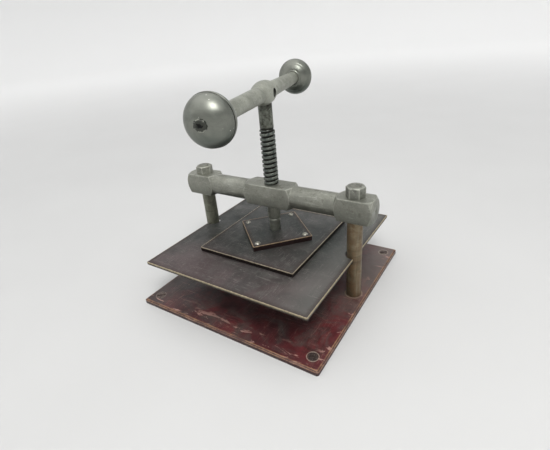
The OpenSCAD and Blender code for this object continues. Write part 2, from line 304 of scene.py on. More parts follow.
def end_tree(tree, geometry, start, end):
    """Makes a tree's result real geometry and gives it its material."""
    real = tree.nodes.new("GeometryNodeRealizeInstances")
    finish = tree.nodes.new("GeometryNodeSetMaterial")
    tree.links.new(geometry, real.inputs[0])
    tree.links.new(real.outputs[0], finish.inputs["Geometry"])
    tree.links.new(start.outputs["Material"], finish.inputs["Material"])
    tree.links.new(finish.outputs[0], end.inputs[0])
    return tree


def thread_tree():
    """Cuts a right-hand thread into a round blank: the radius follows a helix of rounded ridges."""
    tree, start, end = start_tree("cut thread")
    for name in ("Root Radius", "Crest Radius", "Pitch", "Low", "High", "Run Out", "Phase"):
        tree_socket(tree, name, "NodeSocketFloat", 0.0)
    tree_socket(tree, "Material", "NodeSocketMaterial")
    link = tree.links.new

    def m(operation, *values):
        return field_math(tree, operation, *values)

    position = tree.nodes.new("GeometryNodeInputPosition")
    split = tree.nodes.new("ShaderNodeSeparateXYZ")
    link(position.outputs[0], split.inputs[0])
    x, y, z = split.outputs
    radius = m("SQRT", m("ADD", m("MULTIPLY", x, x), m("MULTIPLY", y, y)))
    turn = m("DIVIDE", m("SUBTRACT", m("ARCTAN2", y, x), start.outputs["Phase"]), TAU)
    up = m("DIVIDE", m("SUBTRACT", z, start.outputs["Low"]), start.outputs["Pitch"])
    phase = m("FRACT", m("ADD", m("SUBTRACT", up, turn), 64.0))
    off_crest = m("ABSOLUTE", m("SUBTRACT", phase, 0.5))

    def smooth(value, from_low, from_high, to_low=0.0, to_high=1.0):
        node = tree.nodes.new("ShaderNodeMapRange")
        node.interpolation_type = "SMOOTHSTEP"
        for socket, v in zip(node.inputs, (value, from_low, from_high, to_low, to_high)):
            if isinstance(v, (int, float)):
                socket.default_value = v
            else:
                link(v, socket)
        return node.outputs[0]

    ridge = smooth(off_crest, 0.22, 0.39, 1.0, 0.0)
    run_in = smooth(m("SUBTRACT", z, start.outputs["Low"]), 0.0, start.outputs["Run Out"])
    run_off = smooth(m("SUBTRACT", start.outputs["High"], z), 0.0, start.outputs["Run Out"])
    depth = m("SUBTRACT", start.outputs["Crest Radius"], start.outputs["Root Radius"])
    ridge = m("MULTIPLY", m("MULTIPLY", ridge, depth), m("MULTIPLY", run_in, run_off))
    wanted = m("ADD", start.outputs["Root Radius"], ridge)
    scale = m("DIVIDE", wanted, radius)
    in_thread = m("MULTIPLY", m("GREATER_THAN", z, start.outputs["Low"]),
                  m("LESS_THAN", z, start.outputs["High"]))
    in_thread = m("MULTIPLY", in_thread, m("GREATER_THAN", radius, 1e-4))
    moved = tree.nodes.new("ShaderNodeCombineXYZ")
    link(m("MULTIPLY", x, scale), moved.inputs[0])
    link(m("MULTIPLY", y, scale), moved.inputs[1])
    link(z, moved.inputs[2])
    shift = tree.nodes.new("GeometryNodeSetPosition")
    link(start.outputs["Geometry"], shift.inputs["Geometry"])
    link(in_thread, shift.inputs["Selection"])
    link(moved.outputs[0], shift.inputs["Position"])
    return end_tree(tree, shift.outputs[0], start, end)


def fastener_tree():
    """Sets a fastener at each corner of a rectangle, each turned at random about its own axis."""
    tree, start, end = start_tree("fasteners")
    for name in ("Spacing X", "Spacing Y", "Turn", "Slot Angle", "Slot Spread"):
        tree_socket(tree, name, "NodeSocketFloat", 0.0)
    tree_socket(tree, "Centre", "NodeSocketVector")
    tree_socket(tree, "Seed", "NodeSocketInt", 0)
    tree_socket(tree, "Fastener", "NodeSocketObject")
    tree_socket(tree, "Material", "NodeSocketMaterial")
    link = tree.links.new
    grid = tree.nodes.new("GeometryNodeMeshGrid")
    grid.inputs["Vertices X"].default_value = 2
    grid.inputs["Vertices Y"].default_value = 2
    link(start.outputs["Spacing X"], grid.inputs["Size X"])
    link(start.outputs["Spacing Y"], grid.inputs["Size Y"])
    turn = tree.nodes.new("ShaderNodeCombineXYZ")
    link(start.outputs["Turn"], turn.inputs[2])
    put = tree.nodes.new("GeometryNodeTransform")
    link(grid.outputs["Mesh"], put.inputs["Geometry"])
    link(start.outputs["Centre"], put.inputs["Translation"])
    link(turn.outputs[0], put.inputs["Rotation"])
    info = tree.nodes.new("GeometryNodeObjectInfo")
    link(start.outputs["Fastener"], info.inputs["Object"])
    spin = tree.nodes.new("FunctionNodeRandomValue")
    spin.data_type = "FLOAT"
    link(start.outputs["Slot Spread"], spin.inputs[3])
    link(start.outputs["Seed"], spin.inputs["Seed"])
    axis = tree.nodes.new("ShaderNodeCombineXYZ")
    link(field_math(tree, "ADD", spin.outputs[1], start.outputs["Slot Angle"]), axis.inputs[2])
    copies = tree.nodes.new("GeometryNodeInstanceOnPoints")
    link(put.outputs[0], copies.inputs["Points"])
    link(info.outputs["Geometry"], copies.inputs["Instance"])
    link(axis.outputs[0], copies.inputs["Rotation"])
    return end_tree(tree, copies.outputs[0], start, end)


# ---------------------------------------------------------------- finishes

class Finish:
    """A node material being built, with short names for the nodes used most."""

    def __init__(self, name, rough=0.4, metal=1.0, specular=0.5):
        self.mat = bpy.data.materials.new(name)
        self.mat.use_nodes = True
        self.tree = self.mat.node_tree
        self.bsdf = next(n for n in self.tree.nodes if n.type == "BSDF_PRINCIPLED")
        self.bsdf.inputs["Roughness"].default_value = rough
        self.bsdf.inputs["Metallic"].default_value = metal
        self.bsdf.inputs["Specular IOR Level"].default_value = specular
        self.where = self.add("ShaderNodeTexCoord").outputs["Object"]
        self.normal = None

    def add(self, kind, **settings):
        node = self.tree.nodes.new(kind)
        for key, value in settings.items():
            setattr(node, key, value)
        return node

    def plug(self, socket, value):
        if isinstance(value, bpy.types.NodeSocket):
            self.tree.links.new(value, socket)
        elif value is not None:
            if socket.type == "RGBA" and len(value) == 3:
                value = (*value, 1.0)
            socket.default_value = value

    def math(self, operation, a, b=None):
        node = self.add("ShaderNodeMath", operation=operation)
        self.plug(node.inputs[0], a)
        self.plug(node.inputs[1], b)
        return node.outputs[0]

    def times(self, a, b):
        return self.math("MULTIPLY", a, b)

    def plus(self, a, b, share=None):
        """a + b, or a + share of b."""
        return self.math("ADD", a, b if share is None else self.times(b, share))

    def minus(self, a, b):
        return self.math("SUBTRACT", a, b)

    def abs(self, a):
        return self.math("ABSOLUTE", a)

    def hypot(self, a, b):
        return self.math("SQRT", self.plus(self.times(a, a), self.times(b, b)))

    def mapped(self, scale=(1, 1, 1), turn=(0, 0, 0), move=(0, 0, 0), kind="POINT"):
        node = self.add("ShaderNodeMapping", vector_type=kind)
        self.plug(node.inputs["Vector"], self.where)
        node.inputs["Location"].default_value = move
        node.inputs["Rotation"].default_value = turn
        node.inputs["Scale"].default_value = scale
        return node.outputs[0]

    def xyz(self, vector=None):
        node = self.add("ShaderNodeSeparateXYZ")
        self.plug(node.inputs[0], vector or self.where)
        return node.outputs

    def on_handle(self):
        """Where a point is in the handle's own directions: along the arms, across them, up."""
        return self.xyz(self.mapped(move=(0, 0, HANDLE_Z), turn=(0, 0, HANDLE_TURN), kind="TEXTURE"))

    def noise(self, scale, detail=4, rough=0.55, vector=None, distortion=0.0):
        node = self.add("ShaderNodeTexNoise")
        self.plug(node.inputs["Vector"], vector or self.where)
        node.inputs["Scale"].default_value = scale
        node.inputs["Detail"].default_value = detail
        node.inputs["Roughness"].default_value = rough
        node.inputs["Distortion"].default_value = distortion
        return node.outputs[0]

    def cells(self, scale):
        node = self.add("ShaderNodeTexVoronoi")
        self.plug(node.inputs["Vector"], self.where)
        node.inputs["Scale"].default_value = scale
        return node.outputs["Distance"]

    def band(self, value, from_low, from_high, to_low=0.0, to_high=1.0):
        """Maps a value smoothly from one range to another, held at the ends."""
        node = self.add("ShaderNodeMapRange", interpolation_type="SMOOTHSTEP")
        for socket, v in zip(node.inputs, (value, from_low, from_high, to_low, to_high)):
            self.plug(socket, v)
        return node.outputs[0]

    def fade(self, value, full, gone):
        """1 up to full, falling smoothly to 0 at gone."""
        return self.band(value, full, gone, 1.0, 0.0)

    def specks(self, scale, full, gone):
        """Small round spots scattered at random."""
        return self.fade(self.cells(scale), full, gone)

    def mix(self, amount, a, b):
        node = self.add("ShaderNodeMix", data_type="RGBA")
        self.plug(node.inputs[0], amount)
        self.plug(node.inputs[6], a)
        self.plug(node.inputs[7], b)
        return node.outputs[2]

    def tint(self, colour, shade, mask, amount=None):
        """Lays a shade, in display values, over a colour where the mask is, by no more than amount."""
        mask = mask if amount is None else self.times(mask, amount)
        return self.mix(mask, colour, srgb(*shade))

    def bump(self, height, depth, strength=1.0):
        """Adds relief on top of what is there already; depth is in metres."""
        node = self.add("ShaderNodeBump")
        node.inputs["Strength"].default_value = strength
        node.inputs["Distance"].default_value = depth
        self.plug(node.inputs["Height"], height)
        if self.normal is not None:
            self.plug(node.inputs["Normal"], self.normal)
        self.normal = node.outputs[0]

    def scratches(self, scale, along, width=0.012, turn=0.0):
        """Thin scratches: one where the noise crosses its middle, stretched along one axis."""
        stretch = [1.0, 1.0, 1.0]
        stretch["xyz".index(along)] = 0.06
        vector = self.mapped(scale=stretch, turn=(turn, turn, turn))
        line = self.abs(self.minus(self.noise(scale, 3, 0.5, vector), 0.5))
        line = self.fade(line, 0.0, width)
        patch = self.band(self.noise(scale * 0.16, 2), 0.42, 0.62)
        return self.times(line, patch)

    def attribute(self, name):
        return self.add("ShaderNodeAttribute", attribute_name=name).outputs["Fac"]

    def edge_distance(self, centre, half_w, half_d, top, turn=0.0):
        """How far a point on a plate is from the nearest line of its top edge, in metres."""
        vector = self.mapped(move=tuple(centre), turn=(0, 0, turn), kind="TEXTURE")
        x, y, z = self.xyz(vector)
        across = self.math("MINIMUM", self.minus(half_w, self.abs(x)), self.minus(half_d, self.abs(y)))
        across = self.math("MAXIMUM", across, 0.0)
        down = self.math("MAXIMUM", self.minus(top, z), 0.0)
        far = self.hypot(across, down)
        return far, across, down

    def done(self, colour, rough=None, metal=None):
        self.plug(self.bsdf.inputs["Base Color"], colour)
        self.plug(self.bsdf.inputs["Roughness"], rough)
        self.plug(self.bsdf.inputs["Metallic"], metal)
        if self.normal is not None:
            self.plug(self.bsdf.inputs["Normal"], self.normal)
        return self.mat


def srgb(r, g, b):
    """A colour from its 0 to 255 display values."""
    return tuple(((c / 255 + 0.055) / 1.055) ** 2.4 if c > 10 else c / 255 / 12.92 for c in (r, g, b))


def end_mark(f, side):
    """The dark, ragged mark round the rivet in one knob's face: (all of it, its black middle)."""
    along, across, up = f.on_handle()
    wide, tall = f.math("DIVIDE", across, 1.22), f.math("DIVIDE", up, 0.88)
    off_axis = f.hypot(wide, tall)
    ragged = f.times(f.minus(f.noise(210, 4, 0.72), 0.5), 0.0115)
    mark = f.plus(off_axis, ragged)
    face = f.band(f.times(along, side), 0.200, 0.203)
    outer = f.times(f.fade(mark, 0.0066, 0.0078), face)
    inner = f.times(f.fade(mark, 0.0016, 0.0036), face)
    return outer, inner


def with_end_mark(f, colour, side):
    outer, inner = end_mark(f, side)
    colour = f.tint(colour, (44, 46, 42), outer, 0.9)
    return f.tint(colour, (14, 14, 13), inner), outer


def cast_steel(name, light, dark, stain, stain_share=0.5, rough=(0.34, 0.56), grain="x", extra=None):
    """Dull, hand-worn steel: cloudy tarnish, fine pits, light scratches and brighter edges."""
    f = Finish(name)
    clouds = f.noise(26, 6, 0.62, distortion=0.4)
    fine = f.noise(420, 4, 0.6)
    colour = f.mix(f.band(clouds, 0.30, 0.72), dark, light)
    grit = f.noise(330, 5, 0.7, distortion=0.3)
    colour = f.mix(f.band(grit, 0.50, 0.66, 0.0, 0.16), colour, stain)
    colour = f.tint(colour, (196, 198, 188), f.band(grit, 0.36, 0.46, 0.12, 0.0))
    spots = f.band(f.noise(95, 5, 0.7, distortion=0.8), stain_share, stain_share + 0.16)
    colour = f.mix(f.times(spots, 0.75), colour, stain)
    pits = f.specks(820, 0.10, 0.24)
    pit_patch = f.times(pits, f.band(f.noise(150, 3), 0.46, 0.60))
    colour = f.tint(colour, (42, 40, 34), pit_patch, 0.8)
    lines = f.scratches(240, grain, 0.016)
    colour = f.tint(colour, (200, 202, 192), lines, 0.35)
    worn = f.attribute("edge")
    worn = f.times(worn, f.band(f.noise(120, 4), 0.30, 0.58))
    colour = f.tint(colour, (196, 197, 186), worn, 0.55)
    if extra:
        colour = extra(f, colour)
    f.bump(clouds, 0.0008, 0.35)
    f.bump(fine, 0.00012, 0.5)
    f.bump(f.minus(1.0, pit_patch), 0.00015, 0.6)
    f.bump(lines, 0.00005, 0.4)
    finish = f.band(f.noise(60, 5, 0.6), 0.3, 0.7, rough[0], rough[1])
    finish = f.plus(finish, spots, 0.10)
    return f.done(colour, finish, f.band(spots, 0.0, 1.0, 0.68, 0.45))


def post_finish(name, light, dark, rust, rust_low, rust_high):
    """A drawn steel post: faint lengthways draw lines, brown patina and handling marks."""
    f = Finish(name)
    lines = f.noise(300, 4, 0.6, f.mapped(scale=(1, 1, 0.05)))
    clouds = f.noise(34, 6, 0.65, distortion=0.6)
    colour = f.mix(f.band(clouds, 0.34, 0.68), dark, light)
    patch = f.band(f.noise(52, 6, 0.68, distortion=1.2), rust_low, rust_high)
    colour = f.mix(patch, colour, rust)
    colour = f.tint(colour, (150, 146, 128), f.band(lines, 0.45, 0.75, 0.0, 0.28))
    rings = f.noise(160, 3, 0.5, f.mapped(scale=(0.06, 0.06, 1)))
    colour = f.tint(colour, (40, 38, 32), f.band(rings, 0.58, 0.70, 0.0, 0.35))
    specks = f.specks(620, 0.08, 0.20)
    colour = f.tint(colour, (34, 30, 26), specks, 0.6)
    z = f.xyz()[2]
    stud = f.mix(clouds, srgb(88, 88, 80), srgb(142, 142, 132))
    colour = f.mix(f.band(z, HEAD_TOP, HEAD_TOP + 0.002), colour, stud)
    f.bump(lines, 0.00012, 0.4)
    f.bump(clouds, 0.0005, 0.3)
    f.bump(specks, 0.00006, -0.5)
    return f.done(colour, f.band(clouds, 0.3, 0.7, 0.34, 0.52), f.band(patch, 0.0, 1.0, 0.6, 0.35))


def knob_finish(name, side):
    """Polished, gently hazed steel, with lathe rings about the arm, a rough dark rivet mark and painted shade
    on its lower part.
    """
    f = Finish(name)
    along, across, up = f.on_handle()
    off_axis = f.hypot(across, up)
    haze = f.noise(30, 5, 0.6, distortion=0.5)
    colour = f.mix(f.band(haze, 0.32, 0.68), srgb(104, 107, 100), srgb(134, 136, 128))
    spots = f.band(f.noise(130, 6, 0.72, distortion=0.6), 0.60, 0.72)
    colour = f.tint(colour, (112, 110, 100), spots, 0.45)
    pits = f.specks(760, 0.07, 0.16)
    pits = f.times(pits, f.band(f.noise(90, 3), 0.50, 0.62))
    colour = f.tint(colour, (48, 46, 42), pits, 0.7)
    # painted shade: darkens the knob's lower part
    lower_painted_shade = f.band(f.plus(up, haze, 0.012), -0.020, 0.008, 0.75, 0.0)
    colour = f.tint(colour, (84, 92, 86), lower_painted_shade)
    chips = f.specks(150, 0.05, 0.09)
    chips = f.times(chips, f.band(f.noise(44, 2), 0.52, 0.60))
    colour = f.tint(colour, (232, 232, 226), chips)
    ring_at = f.add("ShaderNodeCombineXYZ")
    f.plug(ring_at.inputs[0], off_axis)
    rings = f.noise(900, 2, 0.5, ring_at.outputs[0])
    seam = f.abs(f.minus(f.times(along, side), SEAM_X))
    seam = f.fade(seam, 0.0003, 0.0010)
    colour = f.tint(colour, (26, 25, 22), seam, 0.9)
    colour, outer = with_end_mark(f, colour, side)
    f.bump(rings, 0.00003, 0.5)
    f.bump(haze, 0.0005, 0.22)
    f.bump(f.noise(380, 4, 0.6), 0.00008, 0.35)
    f.bump(f.minus(1.0, f.math("MAXIMUM", pits, outer)), 0.00025, 0.5)
    rough = f.band(haze, 0.3, 0.7, 0.30, 0.38)
    rough = f.plus(rough, outer, 0.25)
    return f.done(colour, rough, f.band(haze, 0.3, 0.7, 0.72, 0.84))


def thread_finish(name):
    """Oily dark thread: black grease in the grooves, steel showing on the crests, painted light on the neck.
    """
    f = Finish(name)
    x, y, z = f.xyz()
    radius = f.hypot(x, y)
    crest = f.band(radius, THREAD_ROOT_R + 0.0004, THREAD_R - 0.0002)
    in_thread = f.times(f.band(z, 0.155, 0.160), f.fade(z, 0.286, 0.290))
    plain = f.minus(1.0, in_thread)
    mottle = f.noise(120, 6, 0.7, distortion=0.7)
    groove = f.mix(mottle, srgb(12, 13, 12), srgb(46, 45, 40))
    ridge = f.mix(f.band(mottle, 0.35, 0.65), srgb(70, 77, 74), srgb(128, 132, 124))
    colour = f.mix(crest, groove, ridge)
    shank = f.mix(f.band(f.noise(60, 5, 0.65, distortion=0.5), 0.35, 0.65), srgb(74, 76, 70),
                  srgb(120, 123, 113))
    rust = f.band(f.noise(75, 6, 0.7, distortion=1.0), 0.50, 0.60)
    shank = f.tint(shank, (44, 42, 36), rust, 0.7)
    rings = f.noise(330, 3, 0.5, f.mapped(scale=(0.03, 0.03, 1)))
    shank = f.tint(shank, (38, 36, 30), f.band(rings, 0.56, 0.68, 0.0, 0.5))
    colour = f.mix(plain, colour, shank)
    streaks = f.noise(210, 4, 0.6, f.mapped(scale=(1, 1, 0.12)))
    colour = f.tint(colour, (30, 31, 28), f.times(f.band(streaks, 0.50, 0.62, 0.0, 0.6), plain))
    # painted light: lightens the neck under the crosshead, where it stands in shade
    neck_painted_light = f.band(z, BASE_TOP + 0.140, BASE_TOP + 0.146, 0.35, 0.0)
    colour = f.tint(colour, (170, 172, 160), neck_painted_light)
    specks = f.specks(700, 0.08, 0.2)
    colour = f.tint(colour, (24, 22, 20), specks, 0.25)
    f.bump(f.noise(500, 4, 0.6), 0.00012, 0.5)
    f.bump(f.noise(260, 3, 0.5, f.mapped(scale=(0.07, 0.07, 1))), 0.00008, 0.5)
    return f.done(colour, f.band(mottle, 0.3, 0.7, 0.26, 0.46), f.band(mottle, 0.3, 0.7, 0.7, 0.95))


def plate_finish(name, node, turn=0.0, line=0.0011, edge_light=(208, 194, 160), side=(24, 14, 12),
                 side_pale=0.0, half=None, centre=None):
    """Blackened plate with a purple-brown cast: greyed in patches and rubbed to pale lines at its edges, with
    a painted reflection greying its right side and painted shade on its side faces.
    """
    f = Finish(name, metal=0.35)
    mid, size = middle(node), high(node) - low(node)
    half = half or (size.x / 2, size.y / 2)
    centre = centre or (mid.x, mid.y, 0)
    far, across, down = f.edge_distance(centre, half[0], half[1], high(node).z, turn)
    x, y, z = f.xyz()
    clouds = f.noise(13, 7, 0.66, distortion=0.7)
    broad = f.noise(5.5, 3, 0.5, distortion=0.4)
    fine = f.noise(260, 5, 0.65)
    colour = f.mix(f.band(clouds, 0.34, 0.66), srgb(40, 45, 43), srgb(84, 83, 82))
    front = f.band(f.minus(f.times(broad, 0.40), y), 0.16, 0.34)
    colour = f.tint(colour, (92, 70, 71), front, 0.5)
    oily = f.band(f.noise(8.5, 4, 0.55, distortion=0.6), 0.50, 0.66)
    colour = f.tint(colour, (36, 41, 38), oily, 0.55)
    middle_dark = f.band(f.plus(f.abs(f.plus(y, 0.02)), broad, 0.12), 0.10, 0.19, 0.45, 0.0)
    colour = f.tint(colour, (38, 44, 41), middle_dark)
    # painted reflection: greys the plate towards its right side
    right_painted_reflection = f.band(f.plus(x, broad, 0.14), 0.13, 0.23, 0.0, 0.5)
    colour = f.tint(colour, (112, 112, 108), right_painted_reflection)
    colour = f.tint(colour, (94, 95, 90), f.band(f.noise(40, 6, 0.7, distortion=1.0), 0.50, 0.70, 0.0, 0.4))
    colour = f.tint(colour, (116, 110, 106), f.band(fine, 0.52, 0.72, 0.0, 0.3))
    lines = f.math("MAXIMUM", f.scratches(120, "x", 0.010, 0.35), f.scratches(150, "y", 0.009, -0.2))
    colour = f.tint(colour, (150, 144, 138), lines, 0.35)
    specks = f.specks(180, 0.05, 0.11)
    specks = f.times(specks, f.band(f.noise(18, 2), 0.50, 0.62))
    colour = f.tint(colour, (156, 140, 122), specks, 0.7)
    ragged = f.minus(f.noise(150, 6, 0.72), 0.5)
    shade = f.band(f.plus(across, ragged, 0.008), 0.001, 0.010, 0.6, 0.0)
    colour = f.tint(colour, (48, 32, 28), shade)
    # painted shade: the side faces take the dark side colour; paler near the top, where they are rubbed
    sides = f.fade(across, 0.0, 0.0005)
    depth = f.plus(down, ragged, 0.003)
    rubbed = f.mix(f.noise(300, 4, 0.6), srgb(*edge_light), srgb(132, 121, 102))
    side_shade_and_wear = f.mix(f.times(f.fade(depth, 0.0018, 0.0036), side_pale), srgb(*side), rubbed)
    colour = f.mix(sides, colour, side_shade_and_wear)
    rub = f.fade(f.plus(far, ragged, 0.0024), 0.0004, line + 0.0006)
    colour = f.mix(f.times(rub, 0.92), colour, rubbed)
    f.bump(clouds, 0.0010, 0.25)
    f.bump(fine, 0.00018, 0.5)
    f.bump(f.minus(1.0, lines), 0.00008, 0.5)
    f.bump(f.noise(900, 3, 0.6), 0.00006, 0.5)
    rough = f.band(f.noise(22, 5, 0.6), 0.3, 0.7, 0.36, 0.56)
    return f.done(colour, rough, f.band(rub, 0.0, 1.0, 0.35, 0.55))


def paint_finish(name):
    """Burgundy paint gone dull and greenish-grey in places, rubbed to pale lines along its bevel, with a
    painted shadow under the pressing plate and painted shade on its bevel face and sides.
    """
    f = Finish(name, metal=0.0)
    mid, size = middle("base_plate"), high("base_plate") - low("base_plate")
    bevel = 0.003
    far = f.edge_distance((mid.x, mid.y, 0), size.x / 2 - bevel, size.y / 2 - bevel, BASE_TOP)[0]
    x, y, z = f.xyz()
    clouds = f.noise(11, 7, 0.68, distortion=0.9)
    fine = f.noise(210, 5, 0.66)
    colour = f.mix(f.band(clouds, 0.36, 0.64), srgb(64, 30, 33), srgb(98, 40, 42))
    dull = f.band(f.noise(19, 7, 0.7, distortion=1.1), 0.46, 0.64)
    colour = f.tint(colour, (76, 72, 67), dull, 0.62)
    left = f.band(f.plus(x, clouds, 0.16), -0.10, 0.04, 0.75, 0.0)
    colour = f.tint(colour, (50, 42, 40), left)
    dirt = f.band(f.noise(26, 6, 0.7, distortion=0.8), 0.50, 0.66)
    colour = f.tint(colour, (36, 26, 24), dirt, 0.6)
    dust = f.times(f.band(f.plus(x, clouds, 0.06), 0.13, 0.18),
                   f.band(f.plus(y, clouds, 0.10), -0.02, 0.12))
    colour = f.tint(colour, (98, 92, 87), dust, 0.7)
    # painted shadow: darkens the base under the pressing plate
    inward = f.math("MAXIMUM", f.abs(x), f.abs(f.plus(y, 0.005)))
    under_platen_painted_shadow = f.band(f.plus(inward, clouds, 0.05), 0.10, 0.165, 0.6, 0.0)
    colour = f.tint(colour, (24, 14, 14), under_platen_painted_shadow)
    lines = f.math("MAXIMUM", f.scratches(140, "x", 0.012, 0.15), f.scratches(120, "y", 0.010, -0.1))
    colour = f.tint(colour, (140, 104, 92), lines, 0.4)
    streak = f.noise(95, 4, 0.65, f.mapped(scale=(0.32, 1, 1), turn=(0, 0, 0.12)), 0.6)
    by_front = f.fade(y, -0.176, -0.140)
    by_right = f.band(x, 0.150, 0.172)
    scuffs = f.times(f.band(streak, 0.57, 0.63), f.math("MAXIMUM", by_front, by_right))
    colour = f.tint(colour, (176, 138, 126), scuffs, 0.8)
    specks = f.specks(210, 0.05, 0.13)
    specks = f.times(specks, f.band(f.noise(26, 3), 0.50, 0.60))
    colour = f.tint(colour, (126, 100, 88), specks, 0.6)
    ragged = f.times(f.minus(f.noise(170, 6, 0.72), 0.5), 0.0020)
    low_line = BASE_TOP - 0.6 * bevel
    # painted shade: darkens the bevel face
    bevel_painted_shade = f.times(f.band(z, BASE_TOP - 0.0003, BASE_TOP - 0.0006),
                       f.band(z, low_line - 0.0004, low_line))
    colour = f.tint(colour, (52, 26, 24), bevel_painted_shade, 0.75)
    arris = f.fade(f.plus(far, ragged), 0.0001, 0.0009)
    low_edge = f.abs(f.minus(z, low_line))
    low_edge = f.fade(f.plus(low_edge, ragged), 0.0001, 0.0007)
    patchy = f.band(f.noise(34, 4, 0.6), 0.36, 0.56, 0.25, 1.0)
    pale = f.mix(f.noise(260, 4), srgb(170, 134, 98), srgb(124, 84, 64))
    worn = f.times(f.math("MAXIMUM", arris, low_edge), patchy)
    colour = f.mix(f.times(worn, 0.85), colour, pale)
    # painted shade: darkens the base's vertical side below the bevel
    side = f.band(z, low_line - 0.0006, low_line - 0.0014)
    colour = f.tint(colour, (40, 24, 22), side, 0.7)
    for px in (-POST_X, POST_X):
        dx = f.minus(x, px)
        off_post = f.hypot(dx, y)
        ring = f.abs(f.minus(off_post, POST_R + 0.0016))
        ring = f.fade(f.plus(ring, ragged, 1.4), 0.0003, 0.0020)
        colour = f.tint(colour, (134, 118, 98), ring, 0.7)
    for px in (-SCREW_DX / 2, SCREW_DX / 2):
        for py in (-SCREW_DY / 2, SCREW_DY / 2):
            dx, dy = f.minus(x, px), f.minus(y, mid.y + py)
            off = f.hypot(dx, dy)
            ring = f.abs(f.minus(off, 0.0090))
            ring = f.fade(f.plus(ring, ragged), 0.0002, 0.0010)
            colour = f.tint(colour, (160, 148, 132), f.times(ring, 0.7 if px > 0 else 0.3))
    f.bump(clouds, 0.0009, 0.25)
    f.bump(fine, 0.00020, 0.5)
    f.bump(f.minus(1.0, f.math("MAXIMUM", lines, scuffs)), 0.00012, 0.6)
    f.bump(specks, 0.00008, 0.5)
    rough = f.band(f.noise(30, 5, 0.6), 0.3, 0.7, 0.32, 0.54)
    rough = f.plus(rough, dull, 0.10)
    return f.done(colour, rough, f.times(arris, 0.3))


def screw_finish(name, light, dark, rough=(0.30, 0.48)):
    """A slotted screw or rivet head: turned, a little corroded, dirt in its low places."""
    f = Finish(name)
    mottle = f.noise(240, 6, 0.7, distortion=0.8)
    colour = f.mix(f.band(mottle, 0.34, 0.66), dark, light)
    pits = f.specks(1100, 0.08, 0.2)
    colour = f.tint(colour, (36, 33, 30), pits, 0.6)
    f.bump(mottle, 0.00015, 0.5)
    f.bump(f.noise(1200, 3, 0.6), 0.00005, 0.5)
    return f.done(colour, f.band(mottle, 0.3, 0.7, *rough), f.band(mottle, 0.3, 0.7, 0.95, 0.75))


# ---------------------------------------------------------------- the making of each piece

cut_thread = thread_tree()
set_fasteners = fastener_tree()
made = []


def keep(obj, material, body, slot, *nodes):
    """Gives a finished piece its material and lists it with its body, slot and the CAD nodes it stands for.
    """
    obj.data.materials.clear()
    obj.data.materials.append(material)
    made.append((obj, body, slot, nodes))
    return obj


def edge_attribute(obj, near):
    """Stores how near each point is to a worn edge, from 0 to 1."""
    values = [near(v.co) for v in obj.data.vertices]
    attribute = obj.data.attributes.new("edge", "FLOAT", "POINT")
    attribute.data.foreach_set("value", values)
    return obj


def stepped(points, step):
    """Fills in an outline so that no two points are further apart than step."""
    filled = [points[0]]
    for (z0, r0), (z1, r1) in zip(points, points[1:]):
        n = max(1, math.ceil(math.hypot(z1 - z0, r1 - r0) / step))
        filled += [(z0 + (z1 - z0) * i / n, r0 + (r1 - r0) * i / n) for i in range(1, n + 1)]
    return filled


def along_x(turn=0.0, z=0.0):
    """Stands a piece turned about Z along X instead, turned about the upright and raised."""
    return Matrix.Translation((0, 0, z)) @ Matrix.Rotation(turn, 4, "Z") @ Matrix.Rotation(math.pi / 2, 4,
                                                                                           "Y")


# The crosshead: one bar, square at its middle and ends, turned round between them

MIDDLE_BLOCK = (-42.5 * MM, 38.5 * MM)


